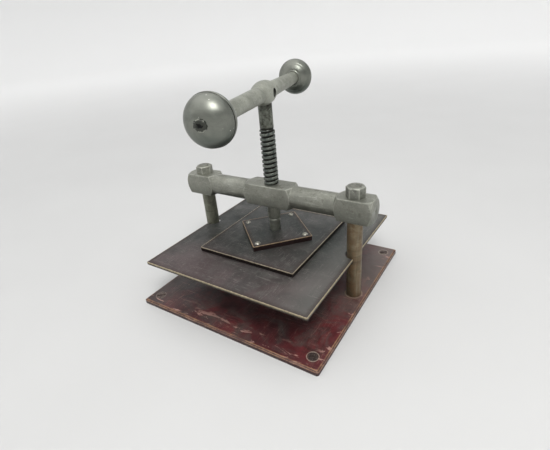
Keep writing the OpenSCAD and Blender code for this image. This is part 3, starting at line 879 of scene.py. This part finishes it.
def crosshead():
    """The bar with its square blocks, bored for the screw and the posts."""
    corner = HEAD_FLAT * math.sqrt(2)
    bar_r = HEAD_FLAT - 0.05 * MM
    cone = 6 * MM
    end_out = HEAD_END - cone
    end_in = end_out - 49 * MM
    blocks = [(-end_out, -end_in), MIDDLE_BLOCK, (end_in, end_out)]

    def envelope(x):
        reach = 0.0
        for x0, x1 in blocks:
            out = max(x0 - x, x - x1)
            reach = max(reach, corner - (corner - bar_r) * max(out, 0.0) / cone)
        return reach

    def step_at(x):
        near = min(abs(x - e) for block_ends in blocks for e in block_ends)
        return 0.5 * MM if near < 8 * MM else 2.2 * MM

    xs, x = [], -HEAD_END + 0.8 * MM
    while x < HEAD_END - 0.8 * MM:
        xs.append(x)
        x += step_at(x)
    xs.append(HEAD_END - 0.8 * MM)
    segments = 240
    rings = [[(-HEAD_END, 0.0, 0.0)]]
    face_rings = [(-HEAD_END, 0.5), (-HEAD_END, 0.94), (-HEAD_END + 0.2 * MM, 0.975)]
    rounded = face_rings + [(x, 1.0) for x in xs]
    rounded += [(-x, share) for x, share in reversed(face_rings)]
    for x, share in rounded:
        env = max(envelope(x), bar_r) * share
        k = min(max(env - bar_r, 0.0), 1.5 * MM)
        ring = []
        for j in range(segments):
            a = TAU * (j + 0.5) / segments
            local = (a + math.pi / 4) % (math.pi / 2) - math.pi / 4
            r = soft_min(env, HEAD_FLAT * share / math.cos(local), k)
            ring.append((x, r * math.cos(a), r * math.sin(a)))
        rings.append(ring)
    rings.append([(HEAD_END, 0.0, 0.0)])
    obj = outward(new_object("crosshead_bar", *ring_grid(rings)))
    place(obj, Matrix.Translation((0, 0, HEAD_AXIS_Z)))
    tools = [rod("bore", THREAD_ROOT_R + 0.3 * MM, HEAD_LOW - CLEAR, HEAD_TOP + CLEAR, segments=96)]
    tools.append(rod("pin room", PIN_R + 0.4 * MM, HEAD_LOW - CLEAR, HEAD_LOW + 17 * MM, segments=96))
    tools += [rod("post hole", POST_HOLE_R, HEAD_LOW - CLEAR, HEAD_TOP + CLEAR, x) for x in (-POST_X, POST_X)]
    saw_cut_x, saw_cut_y, saw_cut_z = (0.1645, 0.1675), (-0.030, -HEAD_FLAT + 0.9 * MM), (0.1665, 0.1735)
    tools.append(block("saw cut", *saw_cut_x, *saw_cut_y, *saw_cut_z))
    tools.append(turned_cone("centre mark", (HEAD_END, 0, HEAD_AXIS_Z), 2.2 * MM, 1.6 * MM))
    tools.append(turned_cone("centre mark", (-HEAD_END, 0, HEAD_AXIS_Z), -2.2 * MM, 1.6 * MM))
    cut(obj, *tools)

    def near(co):
        y, z = abs(co.y), abs(co.z - HEAD_AXIS_Z)
        r = math.hypot(y, z)
        if r < bar_r + 0.3 * MM and envelope(co.x) < HEAD_FLAT + 0.5 * MM:
            return 0.0
        flat_edge = min(HEAD_FLAT - y, HEAD_FLAT - z) if max(y, z) > HEAD_FLAT - 1.6 * MM else 9
        both = max(HEAD_FLAT - y, 0.0) + max(HEAD_FLAT - z, 0.0)
        turned_edge = abs(r - envelope(co.x))
        lip = turned_edge if envelope(co.x) < corner - 0.5 * MM else 9
        lip += max(HEAD_FLAT - max(y, z), 0.0)
        end_lip = max(0.0, HEAD_END - abs(co.x)) + max(0.0, bar_r - r)
        score = min(both if flat_edge < 9 else 9, lip, end_lip)
        return max(0.0, 1.0 - score / (2.2 * MM))
    return edge_attribute(obj, near)


def turned_cone(name, tip, reach, r):
    """A small conical tool along X, for a lathe-centre mark in an end face."""
    x, y, z = tip
    obj = turned(name, [(-abs(reach), 0), (0, r), (abs(reach), r * 1.6), (abs(reach), 0)], 24)
    turn = math.pi / 2 if reach > 0 else -math.pi / 2
    return place(obj, Matrix.Translation((x, y, z)) @ Matrix.Rotation(turn, 4, "Y"))


# Nuts, posts and small turned pieces

def nut(name, node, x, turn):
    """A hexagon nut with a chamfered, slightly hollow top."""
    flat = 13.5 * MM
    nut_h = high(node).z - HEAD_TOP
    tip = flat / math.cos(math.pi / 6)
    inner = POST_HOLE_R
    outline = [(0, inner), (0, flat), (0, tip - 0.3 * MM), (0.4 * MM, tip + 0.4 * MM),
               (nut_h - 2.4 * MM, tip + 0.5 * MM), (nut_h - 1.0 * MM, 13.7 * MM),
               (nut_h - 0.35 * MM, 12.6 * MM), (nut_h, 11.8 * MM), (nut_h, 10.0 * MM),
               (nut_h - 0.5 * MM, inner), (0, inner)]
    outline = stepped(outline, 0.7 * MM)
    obj = turned(name, outline, 216, flats(6, flat, 0.7 * MM, turn + math.pi / 6))
    place(obj, Matrix.Translation((x, 0, HEAD_TOP)))

    def near(co):
        dx, dy = co.x - x, co.y
        r, a = math.hypot(dx, dy), math.atan2(dy, dx)
        local = (a - turn + math.pi / 6) % (math.pi / 3) - math.pi / 6
        upright = abs(local) * r if r > flat * 1.06 else 9
        lip = abs(co.z - HEAD_TOP - nut_h + 1.2 * MM) + max(0, flat - 0.6 * MM - r)
        return max(0.0, 1.0 - min(upright, lip) / (1.8 * MM))
    return edge_attribute(obj, near)


def post(name, x, domed):
    """A post turned down at both ends; its top is domed by riveting, or flat with a centre mark."""
    foot, stud, body = 0.0, high(name).z - 1.5 * MM, POST_R
    end_r = 9 * MM
    head = HEAD_LOW
    outline = [(foot, 0), (foot, end_r), (BASE_TOP, end_r), (BASE_TOP, body - 0.7 * MM),
               (BASE_TOP + 0.25 * MM, body - 0.2 * MM), (BASE_TOP + 0.9 * MM, body),
               (head - 0.8 * MM, body), (head - 0.2 * MM, body - 0.25 * MM), (head, body - 0.8 * MM),
               (head, end_r), (stud - 0.5 * MM, end_r)]
    crown = high(name).z
    if domed:
        for i in range(8):
            a = math.pi / 2 * i / 8
            outline.append((stud - 0.5 * MM + (crown - stud + 0.5 * MM) * math.sin(a), end_r * math.cos(a)))
        outline.append((crown, 0))
    else:
        outline += [(stud + 0.6 * MM, end_r - 0.5 * MM), (crown - 0.2 * MM, end_r - 1.4 * MM),
                    (crown, end_r - 2.2 * MM), (crown, 2.6 * MM), (crown - 0.9 * MM, 0)]
    obj = turned(name + "_bar", stepped(outline, 3 * MM), 128)
    for v in obj.data.vertices:
        if domed and v.co.z > stud:
            dent = noise.noise(v.co * 260) * 0.9 * MM
            v.co.z = min(v.co.z + dent - 0.3 * MM, crown)
    return place(obj, Matrix.Translation((x, 0, 0)))


# Plates

def slab_plate(name, width, depth, z0, z1, corner_r, centre_y=0.0, tools=(), edge=0.5):
    obj = slab(name, width, depth, z0, z1, corner_r * MM, centre_y=centre_y)
    cut(obj, *tools)
    return softened(obj, edge * MM)


def notch(side):
    """The tools for the round-ended notch that lets one post through the pressing plate."""
    r = POST_R + 2.5 * MM
    z0, z1 = low("platen_plate").z - CLEAR, PLATEN_TOP + CLEAR
    tool = rod("notch", r, z0, z1, side * POST_X)
    slot = block("notch mouth", side * POST_X, side * POST_X + side * 0.05, -r, r, z0, z1)
    return tool, slot


def in_square(reach, turn=math.pi / 4):
    """Four places at one distance from the screw, a quarter turn apart."""
    return [(reach * math.cos(turn + k * math.pi / 2), reach * math.sin(turn + k * math.pi / 2))
            for k in range(4)]


# Screws

def countersunk(name, head_r, shank_r, length, slot_w, slot_deep, crown=0.0):
    """A countersunk screw standing on its head's top at z = 0, its shank going down."""
    head_h = head_r - shank_r
    outline = [(-length, 0), (-length, shank_r), (-head_h, shank_r), (-0.35 * MM, head_r - 0.1 * MM),
               (-0.12 * MM, head_r - 0.02 * MM), (-0.02 * MM, head_r - 0.25 * MM),
               (0, head_r - 0.7 * MM)]
    outline += [(crown * 0.7, head_r * 0.5), (crown, 0)] if crown else [(0, 0)]
    obj = turned(name, outline, 72)
    if slot_w:
        cut(obj, block("slot", -head_r * 2, head_r * 2, -slot_w / 2, slot_w / 2, -slot_deep, 0.01))
    return softened(obj, 0.12 * MM, 2, 40)


def round_head(name, head_r, head_h, shank_r, length, slot_w, slot_deep):
    """A slotted round-head screw, the underside of its head at z = 0."""
    ball = (head_r ** 2 + head_h ** 2) / (2 * head_h)
    outline = [(-length, 0), (-length, shank_r), (0, shank_r), (0, head_r - 0.15 * MM), (0.2 * MM, head_r)]
    top = math.asin(head_r / ball)
    for i in range(1, 13):
        a = top * (1 - i / 12)
        z = head_h - ball + ball * math.cos(a)
        if z > 0.45 * MM:
            outline.append((z, ball * math.sin(a)))
    obj = turned(name, outline, 64)
    cut(obj, block("slot", -head_r * 2, head_r * 2, -slot_w / 2, slot_w / 2, head_h - slot_deep, 0.05))
    return softened(obj, 0.1 * MM, 2, 40)


def fasteners(name, screw, spacing_x, spacing_y, turn, centre, slot, seed, material):
    """Four copies of a fastener at the corners of a rectangle, as one mesh."""
    seat = new_object(name, [(0, 0, 0)], [], smooth=False)
    run_tree(seat, set_fasteners, spacing_x=spacing_x, spacing_y=spacing_y, turn=turn,
             centre=tuple(centre), slot_angle=slot[0], slot_spread=slot[1], seed=seed,
             fastener=screw, material=material)
    bpy.data.objects.remove(screw)
    return seat


# The screw, the handle and its knobs

def spindle(material):
    """The screw: neck, pin, cut thread and plain shank, drilled for the cross pin."""
    z0, pin_low, pin_high = low("spindle").z, KEEPER_TOP + 23.5 * MM, HEAD_LOW + 4 * MM
    thread_high = HEAD_TOP + 95 * MM
    top = high("spindle").z
    neck, pin, shank = NECK_R, PIN_R, PIN_R
    outline = [(z0, 0), (z0, neck - 0.4 * MM), (z0 + 0.4 * MM, neck)]
    outline += [(pin_low - 1.6 * MM, neck), (pin_low - 1.3 * MM, neck - 0.7 * MM),
                (pin_low - 0.2 * MM, neck - 0.7 * MM), (pin_low, pin - 0.8 * MM),
                (pin_low + 0.25 * MM, pin - 0.2 * MM), (pin_low + 0.8 * MM, pin), (pin_high, pin)]
    steps = int((thread_high - pin_high) / (0.36 * MM))
    blank = [(pin_high + (thread_high - pin_high) * i / steps, THREAD_ROOT_R) for i in range(1, steps)]
    tail = [(thread_high, shank), (top - 0.3 * MM, shank), (top, shank - 0.3 * MM), (top, 0)]
    obj = turned("screw_spindle", stepped(outline, 3 * MM) + blank + stepped(tail, 3 * MM), 120)
    run_tree(obj, cut_thread, root_radius=THREAD_ROOT_R, crest_radius=THREAD_R, pitch=THREAD_PITCH,
             low=pin_high + 0.2 * MM, high=thread_high, run_out=4 * MM, phase=HANDLE_TURN,
             material=material)
    hole = rod("pin hole", 4.0 * MM, -0.03, 0.03)
    place(hole, AT_HANDLE @ LAID_DOWN)
    cut(obj, hole)
    return obj


HANDLE_HALF = 210.5 * MM
SEAM_X = 185.5 * MM
RIM_X = 183.8 * MM
SEAM_R = 31.8 * MM
RIM_R = 32.5 * MM
FRONT_T = 24 * MM
BACK_T = 21 * MM
ARM_R = 11 * MM
RIVET_R = 7 * MM
BACK_X = RIM_X - BACK_T * math.sqrt(1 - ((ARM_R + 0.6 * MM) / RIM_R) ** 2)


def handle_half():
    """Outline of half the handle, (distance from the screw, radius)."""
    hub, curve, fillet, arm = 18.5 * MM, 66 * MM, 9 * MM, 12.5 * MM
    centre = hub - curve
    reach = math.sqrt((curve + fillet) ** 2 - (arm + fillet - centre) ** 2)
    lean = math.degrees(math.atan2(reach, arm + fillet - centre))
    points = arc(0, centre, curve, 90, 90 - lean, 24)
    points += arc(reach, arm + fillet, fillet, 270 - lean, 270, 10)[1:]
    points += [(BACK_X + 2 * MM, ARM_R), (BACK_X + 2 * MM, RIVET_R)]
    points += [(HANDLE_HALF - back * MM, RIVET_R + more * MM) for back, more in
               ((1.9, 0.0), (1.7, 0.8), (1.3, 0.6), (0.8, -0.6), (0.4, -2.0), (0.1, -3.4),
                (0.6, -5.2))]
    points.append((HANDLE_HALF - 0.8 * MM, 0))
    return points


def handle():
    """Hub and both arms in one turning, with riveted ends and a recess at each end of the pin."""
    half = handle_half()
    outline = [(-x, r) for x, r in reversed(half)] + half[1:]
    obj = turned("handle_arms", stepped(outline, 1.6 * MM), 144)
    for v in obj.data.vertices:
        if abs(v.co.z) > HANDLE_HALF - 1.8 * MM:
            ragged = 1 - 0.16 * abs(noise.noise(Vector((v.co.x * 300, v.co.y * 300, v.co.z * 20))))
            v.co.x *= ragged
            v.co.y *= ragged
            lift = 0.35 * MM * noise.noise(v.co * 420)
            v.co.z = math.copysign(min(abs(v.co.z) + lift, HANDLE_HALF), v.co.z)
    place(obj, along_x())
    tools = [rod("shank hole", PIN_R + 0.05 * MM, -0.030, -(18.5 + 6) / 2 * MM + 8 * MM),
             place(rod("pin hole", 4.02 * MM, -0.03, 0.03), LAID_DOWN)]
    for side in (-1, 1):
        recess = turned("recess", [(14.5 * MM, 0), (14.5 * MM, 6.1 * MM), (15.0 * MM, 6.4 * MM),
                                   (17.7 * MM, 6.5 * MM), (18.6 * MM, 7.3 * MM), (30 * MM, 18 * MM),
                                   (30 * MM, 0)], 72)
        tools.append(place(recess, Matrix.Rotation(-side * math.pi / 2, 4, "X")))
    cut(obj, *tools)
    place(obj, AT_HANDLE)
    return edge_attribute(obj, lambda co: 0.0)


def cross_pin():
    """The pin that holds the handle on the screw."""
    end = 14.5 * MM
    outline = [(-end, 0), (-end + 0.3 * MM, 2.4 * MM), (-end + 0.9 * MM, 3.98 * MM),
               (end - 0.9 * MM, 3.98 * MM), (end - 0.3 * MM, 2.4 * MM), (end, 0)]
    obj = turned("cross_pin", stepped(outline, 1.5 * MM), 64)
    return place(obj, AT_HANDLE @ LAID_DOWN)


def quarter_round(x, reach, r_rim, r_end, steps, power=1.0):
    """Points of a flattened quarter round from a knob's rim in to radius r_end."""
    last = math.acos((r_end / r_rim) ** (1 / power))
    angles = [last * i / steps for i in range(steps + 1)]
    return [(x + reach * math.sin(a) ** power, r_rim * math.cos(a) ** power) for a in angles]


def on_arm(obj, side):
    """Stands a knob's half on its own arm of the handle."""
    return place(obj, along_x(HANDLE_TURN if side > 0 else HANDLE_TURN + math.pi, HANDLE_Z))


def knob_dome(name, side):
    """The outer, rounded half of a knob."""
    hole = RIVET_R + 0.05 * MM
    outline = [(SEAM_X, hole), (SEAM_X, SEAM_R - 1.5 * MM), (SEAM_X + 0.15 * MM, SEAM_R - 0.75 * MM),
               (SEAM_X + 0.4 * MM, SEAM_R - 0.3 * MM)]
    outline += quarter_round(SEAM_X, FRONT_T, SEAM_R, RIVET_R + 0.1 * MM, 60, 1.05)[4:]
    outline += [(outline[-1][0] - 0.3 * MM, hole), (SEAM_X, hole)]
    obj = turned(name, stepped(outline, 3.5 * MM), 180)
    return on_arm(obj, side)


def knob_back(name, side):
    """The inner half of a knob, with two turned beads."""
    hole, arm = RIVET_R + 0.05 * MM, ARM_R + 0.05 * MM
    outline = [(SEAM_X, hole), (SEAM_X, SEAM_R - 1.5 * MM), (SEAM_X - 0.15 * MM, SEAM_R - 0.6 * MM),
               (SEAM_X - 0.5 * MM, SEAM_R), (SEAM_X - 1.0 * MM, RIM_R - 0.2 * MM)]
    curve = quarter_round(RIM_X, -BACK_T, RIM_R, ARM_R + 1.1 * MM, 72)
    beads = ((25.5 * MM, 0.45 * MM), (14.2 * MM, 0.6 * MM))
    outline += [(x + sum(h * math.exp(-((r - at) / (1.1 * MM)) ** 2) for at, h in beads), r)
                for x, r in curve]
    outline += [(BACK_X + 0.3 * MM, ARM_R + 0.6 * MM), (BACK_X + 0.9 * MM, arm),
                (BACK_X + 2 * MM, arm), (BACK_X + 2 * MM, hole), (SEAM_X, hole)]
    obj = turned(name, stepped(outline, 2.5 * MM), 180)
    return on_arm(obj, side)


# ---------------------------------------------------------------- the press

left_nut_steel = cast_steel("left nut steel", srgb(160, 161, 150), srgb(118, 119, 109), srgb(92, 88, 78),
                            0.52)
right_nut_steel = cast_steel("right nut steel", srgb(148, 149, 140), srgb(106, 107, 100), srgb(78, 76, 70),
                             0.48)


def crosshead_details(f, colour):
    """Painted shade: the lower half of the bar is darkened, standing in for the shade under it."""
    z = f.xyz()[2]
    # painted shade: darkens the bar below its axis
    lower_painted_shade = f.band(f.plus(z, f.noise(60, 4), 0.010), HEAD_LOW + 0.002, HEAD_AXIS_Z + 0.014, 0.62, 0.0)
    return f.tint(colour, (78, 80, 73), lower_painted_shade)


def handle_details(f, colour):
    """Painted shade, near black, in the cross pin's recesses, and the dark marks on the riveted ends."""
    along, across, up = f.on_handle()
    off_pin = f.hypot(along, up)
    # painted shade: near black in the cross pin's recesses
    recess_painted_shade = f.fade(off_pin, 0.0066, 0.0074)
    colour = f.tint(colour, (30, 30, 27), recess_painted_shade, 0.93)
    for side in (-1, 1):
        colour = with_end_mark(f, colour, side)[0]
    return colour


steel = cast_steel("crosshead steel", srgb(150, 151, 141), srgb(126, 127, 118), srgb(88, 84, 72), 0.56,
                   (0.32, 0.48), extra=crosshead_details)
handle_steel = cast_steel("handle steel", srgb(166, 168, 157), srgb(134, 136, 126), srgb(108, 106, 94), 0.58,
                          (0.42, 0.56), extra=handle_details)

keep(crosshead(), steel, "frame", "grey_steel", "crosshead")
keep(nut("left_nut_hexagon", "left_nut", -POST_X, math.radians(53)), left_nut_steel,
     "frame", "grey_steel", "left_nut")
keep(nut("right_nut_hexagon", "right_nut", POST_X, math.radians(12)), right_nut_steel,
     "frame", "grey_steel", "right_nut")
keep(post("left_post", -POST_X, False),
     post_finish("left post steel", srgb(126, 127, 112), srgb(92, 93, 82), srgb(92, 84, 66), 0.54, 0.70),
     "frame", "post_steel", "left_post")
keep(post("right_post", POST_X, True),
     post_finish("right post steel", srgb(134, 120, 96), srgb(96, 84, 64), srgb(104, 84, 60), 0.44, 0.64),
     "frame", "post_steel", "right_post")

base_size = high("base_plate") - low("base_plate")
base_y = middle("base_plate").y
base_cuts = [rod("post foot", POST_HOLE_R, -0.01, 0.02, x) for x in (-POST_X, POST_X)]
for x in (-SCREW_DX / 2, SCREW_DX / 2):
    for y in (base_y - SCREW_DY / 2, base_y + SCREW_DY / 2):
        sink = turned("sink", [(-0.02, 0), (-0.02, 4.1 * MM), (-4 * MM, 4.15 * MM), (0, 8.2 * MM),
                               (5 * MM, 8.2 * MM), (5 * MM, 0)], 64)
        base_cuts.append(place(sink, Matrix.Translation((x, y, BASE_TOP))))
base = slab("base_slab", base_size.x, base_size.y, 0.0, BASE_TOP, 4 * MM, (3 * MM, 1.8 * MM), base_y)
cut(base, *base_cuts)
softened(base, 0.35 * MM)
keep(base, paint_finish("burgundy paint"), "frame", "paint_burgundy", "base_plate")

dull = screw_finish("dull screw steel", srgb(134, 132, 122), srgb(84, 80, 72))
bright = screw_finish("bright screw steel", srgb(190, 189, 178), srgb(118, 115, 104), (0.26, 0.44))
corner_dull = screw_finish("corner screw steel", srgb(116, 104, 98), srgb(74, 62, 60), (0.40, 0.60))
corner_screw = countersunk("corner screw", 8 * MM, 4 * MM, BASE_TOP, 1.6 * MM, 1.4 * MM)
keep(fasteners("corner_screws", corner_screw, SCREW_DX, SCREW_DY, 0.0, (0, base_y, BASE_TOP), (0.35, 0.5), 6,
               corner_dull), corner_dull, "frame", "dull_steel", "base_screws")

platen_size = high("platen_plate") - low("platen_plate")
platen_y = middle("platen_plate").y
rivet_dx, rivet_dy = (188 - 44) * MM, (203 - 44) * MM
rivet_z = low("platen_plate").z


def rivet_sinks(z0, z1, r, sunk):
    """Tools for the four rivet holes, countersunk from below or plain."""
    tools = []
    for x in (-rivet_dx / 2, rivet_dx / 2):
        for y in (-rivet_dy / 2, rivet_dy / 2):
            if sunk:
                tool = turned("sink",
                              [(-5 * MM, 0), (-5 * MM, 7.1 * MM), (0, 7.1 * MM), (3.05 * MM, 4.05 * MM),
                                       (z1 - z0, 4.05 * MM), (z1 - z0, 0)], 48)
            else:
                tool = turned("hole", [(-1 * MM, 0), (-1 * MM, r), (z1 - z0, r), (z1 - z0, 0)], 48)
            tools.append(place(tool, Matrix.Translation((x, y, z0))))
    return tools


platen_cuts = list(notch(-1)) + list(notch(1)) + rivet_sinks(rivet_z, PLATEN_TOP + CLEAR, 0, True)
platen = slab_plate("pressing_plate", platen_size.x, platen_size.y, rivet_z, PLATEN_TOP, 1.5, platen_y,
                    platen_cuts, 0.55)
keep(platen, plate_finish("pressing plate patina", "platen_plate", line=0.0008, side=(40, 31, 23),
                          side_pale=0.4), "platen", "plate_steel",
     "platen_plate")

middle_size = high("middle_plate") - low("middle_plate")
keeper_turn = math.radians(1.8)
keeper_reach = 60.1 * MM
middle_cuts = rivet_sinks(PLATEN_TOP, PLATEN_TOP + 5 * MM, 4.05 * MM, False)
middle_cuts += [rod("screw hole", KEEPER_HOLE_R, PLATEN_TOP + 1 * MM, MIDDLE_TOP + CLEAR, x, y, 32)
                for x, y in in_square(keeper_reach, keeper_turn)]
middle_slab = slab_plate("middle_plate_slab", middle_size.x, middle_size.y, PLATEN_TOP, MIDDLE_TOP, 1.5,
                         0.0, middle_cuts, 0.5)
keep(middle_slab, plate_finish("middle plate patina", "middle_plate", line=0.0010,
                               edge_light=(204, 192, 168)), "platen", "plate_steel", "middle_plate")

keeper_half = 52.5 * MM
keeper_cuts = [rod("screw hole", KEEPER_HOLE_R, MIDDLE_TOP - CLEAR, KEEPER_TOP + CLEAR, x, y, 32)
               for x, y in in_square(keeper_reach, -math.pi / 4)]
keeper_cuts += [rod("collar room", 14.9 * MM, MIDDLE_TOP - CLEAR, MIDDLE_TOP + 5.1 * MM),
                rod("neck hole", NECK_R + 0.4 * MM, MIDDLE_TOP, KEEPER_TOP + CLEAR)]
keeper = slab_plate("keeper_slab", 2 * keeper_half, 2 * keeper_half, MIDDLE_TOP, KEEPER_TOP, 1.5, 0.0,
                    keeper_cuts, 0.55)
place(keeper, Matrix.Rotation(math.pi / 4 + keeper_turn, 4, "Z"))
keep(keeper, plate_finish("keeper plate patina", "keeper_plate", math.pi / 4 + keeper_turn, 0.0010,
                          (200, 170, 136), (30, 13, 12), half=(keeper_half,
                                                               keeper_half)), "platen", "plate_steel",
     "keeper_plate")

keeper_screw = round_head("keeper screw", 5 * MM, 2.8 * MM, 2.5 * MM, 14.5 * MM, 1.6 * MM, 1.4 * MM)
keep(fasteners("keeper_screw_heads", keeper_screw, keeper_reach * math.sqrt(2), keeper_reach * math.sqrt(2),
               math.pi / 4 + keeper_turn, (0, 0, KEEPER_TOP), (0.0, TAU), 11, bright), bright,
     "platen", "bright_steel", "keeper_screws")

plate_rivet = countersunk("plate rivet", 7 * MM, 4 * MM, 10 * MM, 0, 0)
place(plate_rivet, Matrix.Rotation(math.pi, 4, "X"))
keep(fasteners("plate_rivet_set", plate_rivet, rivet_dx, rivet_dy, 0.0, (0, 0, rivet_z), (0.0, TAU), 3,
               dull), dull,
     "platen", "dull_steel", "plate_rivets")

oily = thread_finish("oily thread steel")
keep(spindle(oily), oily, "screw", "oiled_steel", "spindle")
collar_z = low("thrust_collar").z
collar_in, collar_out = NECK_R + 0.05 * MM, 14.5 * MM
collar = turned("collar_ring", stepped([(0, collar_in), (0, collar_out - 0.3 * MM), (0.3 * MM, collar_out),
                                        (4.2 * MM, collar_out), (4.5 * MM, collar_out - 0.3 * MM),
                                        (4.5 * MM, collar_in), (0, collar_in)], 2 * MM), 96)
keep(place(collar, Matrix.Translation((0, 0, collar_z))), dull, "screw", "dull_steel", "thrust_collar")
keep(handle(), handle_steel, "screw", "grey_steel", "handle_bar")
keep(cross_pin(), dull, "screw", "dull_steel", "handle_pin")
for side, word in ((-1, "front"), (1, "rear")):
    finish = knob_finish(word + " knob steel", side)
    keep(knob_dome(word + "_knob_dome", side), finish, "screw", "bright_steel", word + "_knob")
    keep(knob_back(word + "_knob_rim", side), finish, "screw", "bright_steel", word + "_knob_back")

for obj, body, slot, nodes in made:
    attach(obj, body)
    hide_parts(*nodes)


# ---------------------------------------------------------------- floor, light and camera

def studio_floor():
    """A round pale floor that curves up into a wall far away, the wall paler than the floor."""
    flat_r, curve_r, wall_top = 6.0, 2.4, 6.5
    outline = [(0, 0.0), (0, 1.0), (0, flat_r)]
    for i in range(1, 19):
        a = math.radians(5 * i)
        outline.append((curve_r - curve_r * math.cos(a), flat_r + curve_r * math.sin(a)))
    outline.append((wall_top, flat_r + curve_r))
    rings = []
    for z, r in outline:
        rings.append([(0.0, 0.0, z)] if r < 1e-6 else
                     [(r * math.cos(TAU * j / 96), r * math.sin(TAU * j / 96), z) for j in range(96)])
    verts, faces = ring_grid(rings)
    obj = new_object("floor", verts, [tuple(reversed(f)) for f in faces])
    f = Finish("pale floor", rough=0.75, metal=0.0, specular=0.2)
    x, y, z = f.xyz()
    out = f.hypot(x, y)
    near_tone = f.mix(f.noise(3, 2), (0.56, 0.56, 0.555), (0.60, 0.60, 0.595))
    tone = f.mix(f.band(out, 0.7, 5.5), near_tone, (0.90, 0.90, 0.895))
    obj.data.materials.append(f.done(tone))


def soft_light(name, place_at, aim, size, watts, colour=(1, 1, 1)):
    """A rectangular lamp aimed at a point."""
    data = bpy.data.lights.new(name, "AREA")
    data.shape = "RECTANGLE"
    data.size, data.size_y = size
    data.energy = watts
    data.color = colour
    obj = bpy.data.objects.new(name, data)
    bpy.context.scene.collection.objects.link(obj)
    obj.location = place_at
    obj.rotation_euler = (Vector(aim) - Vector(place_at)).to_track_quat("-Z", "Y").to_euler()


studio_floor()
world = bpy.data.worlds.new("studio")
bpy.context.scene.world = world
world.use_nodes = True
background = next(n for n in world.node_tree.nodes if n.type == "BACKGROUND")
background.inputs["Color"].default_value = (0.80, 0.82, 0.85, 1)
background.inputs["Strength"].default_value = 0.12
overhead = bpy.data.lights.new("overhead", "SUN")
overhead.energy = 2.65
overhead.angle = math.radians(110)
overhead_stand = bpy.data.objects.new("overhead", overhead)
bpy.context.scene.collection.objects.link(overhead_stand)
overhead_stand.rotation_euler = (math.radians(8), 0, 0)
soft_light("window", (0.60, -0.70, 1.50), (0, 0, 0.25), (0.55, 0.55), 11.5, (1.0, 0.99, 0.97))
soft_light("fill", (-1.6, -1.1, 0.9), (0, 0, 0.15), (1.2, 1.0), 1.5, (0.95, 0.98, 1.0))

azimuth, elevation, roll = math.radians(34.42), math.radians(27.19), math.radians(-4.90)
look = Vector((-math.sin(azimuth) * math.cos(elevation), math.cos(azimuth) * math.cos(elevation),
               -math.sin(elevation)))
right = look.cross(Vector((0, 0, 1))).normalized()
up = right.cross(look)
right_rolled = math.cos(roll) * right + math.sin(roll) * up
up_rolled = -math.sin(roll) * right + math.cos(roll) * up
camera_data = bpy.data.cameras.new("camera")
camera_data.sensor_width = 36
camera_data.lens = 24.97
camera_data.shift_x = -0.0013
camera_data.shift_y = -0.0040
camera = bpy.data.objects.new("camera", camera_data)
bpy.context.scene.collection.objects.link(camera)
axes = Matrix((right_rolled, up_rolled, -look)).transposed()
camera_at = (0.3493, -0.5076, 0.4300)
camera.matrix_world = Matrix.Translation(camera_at) @ axes.to_4x4()
bpy.context.scene.camera = camera
bpy.context.scene.view_settings.view_transform = "Standard"
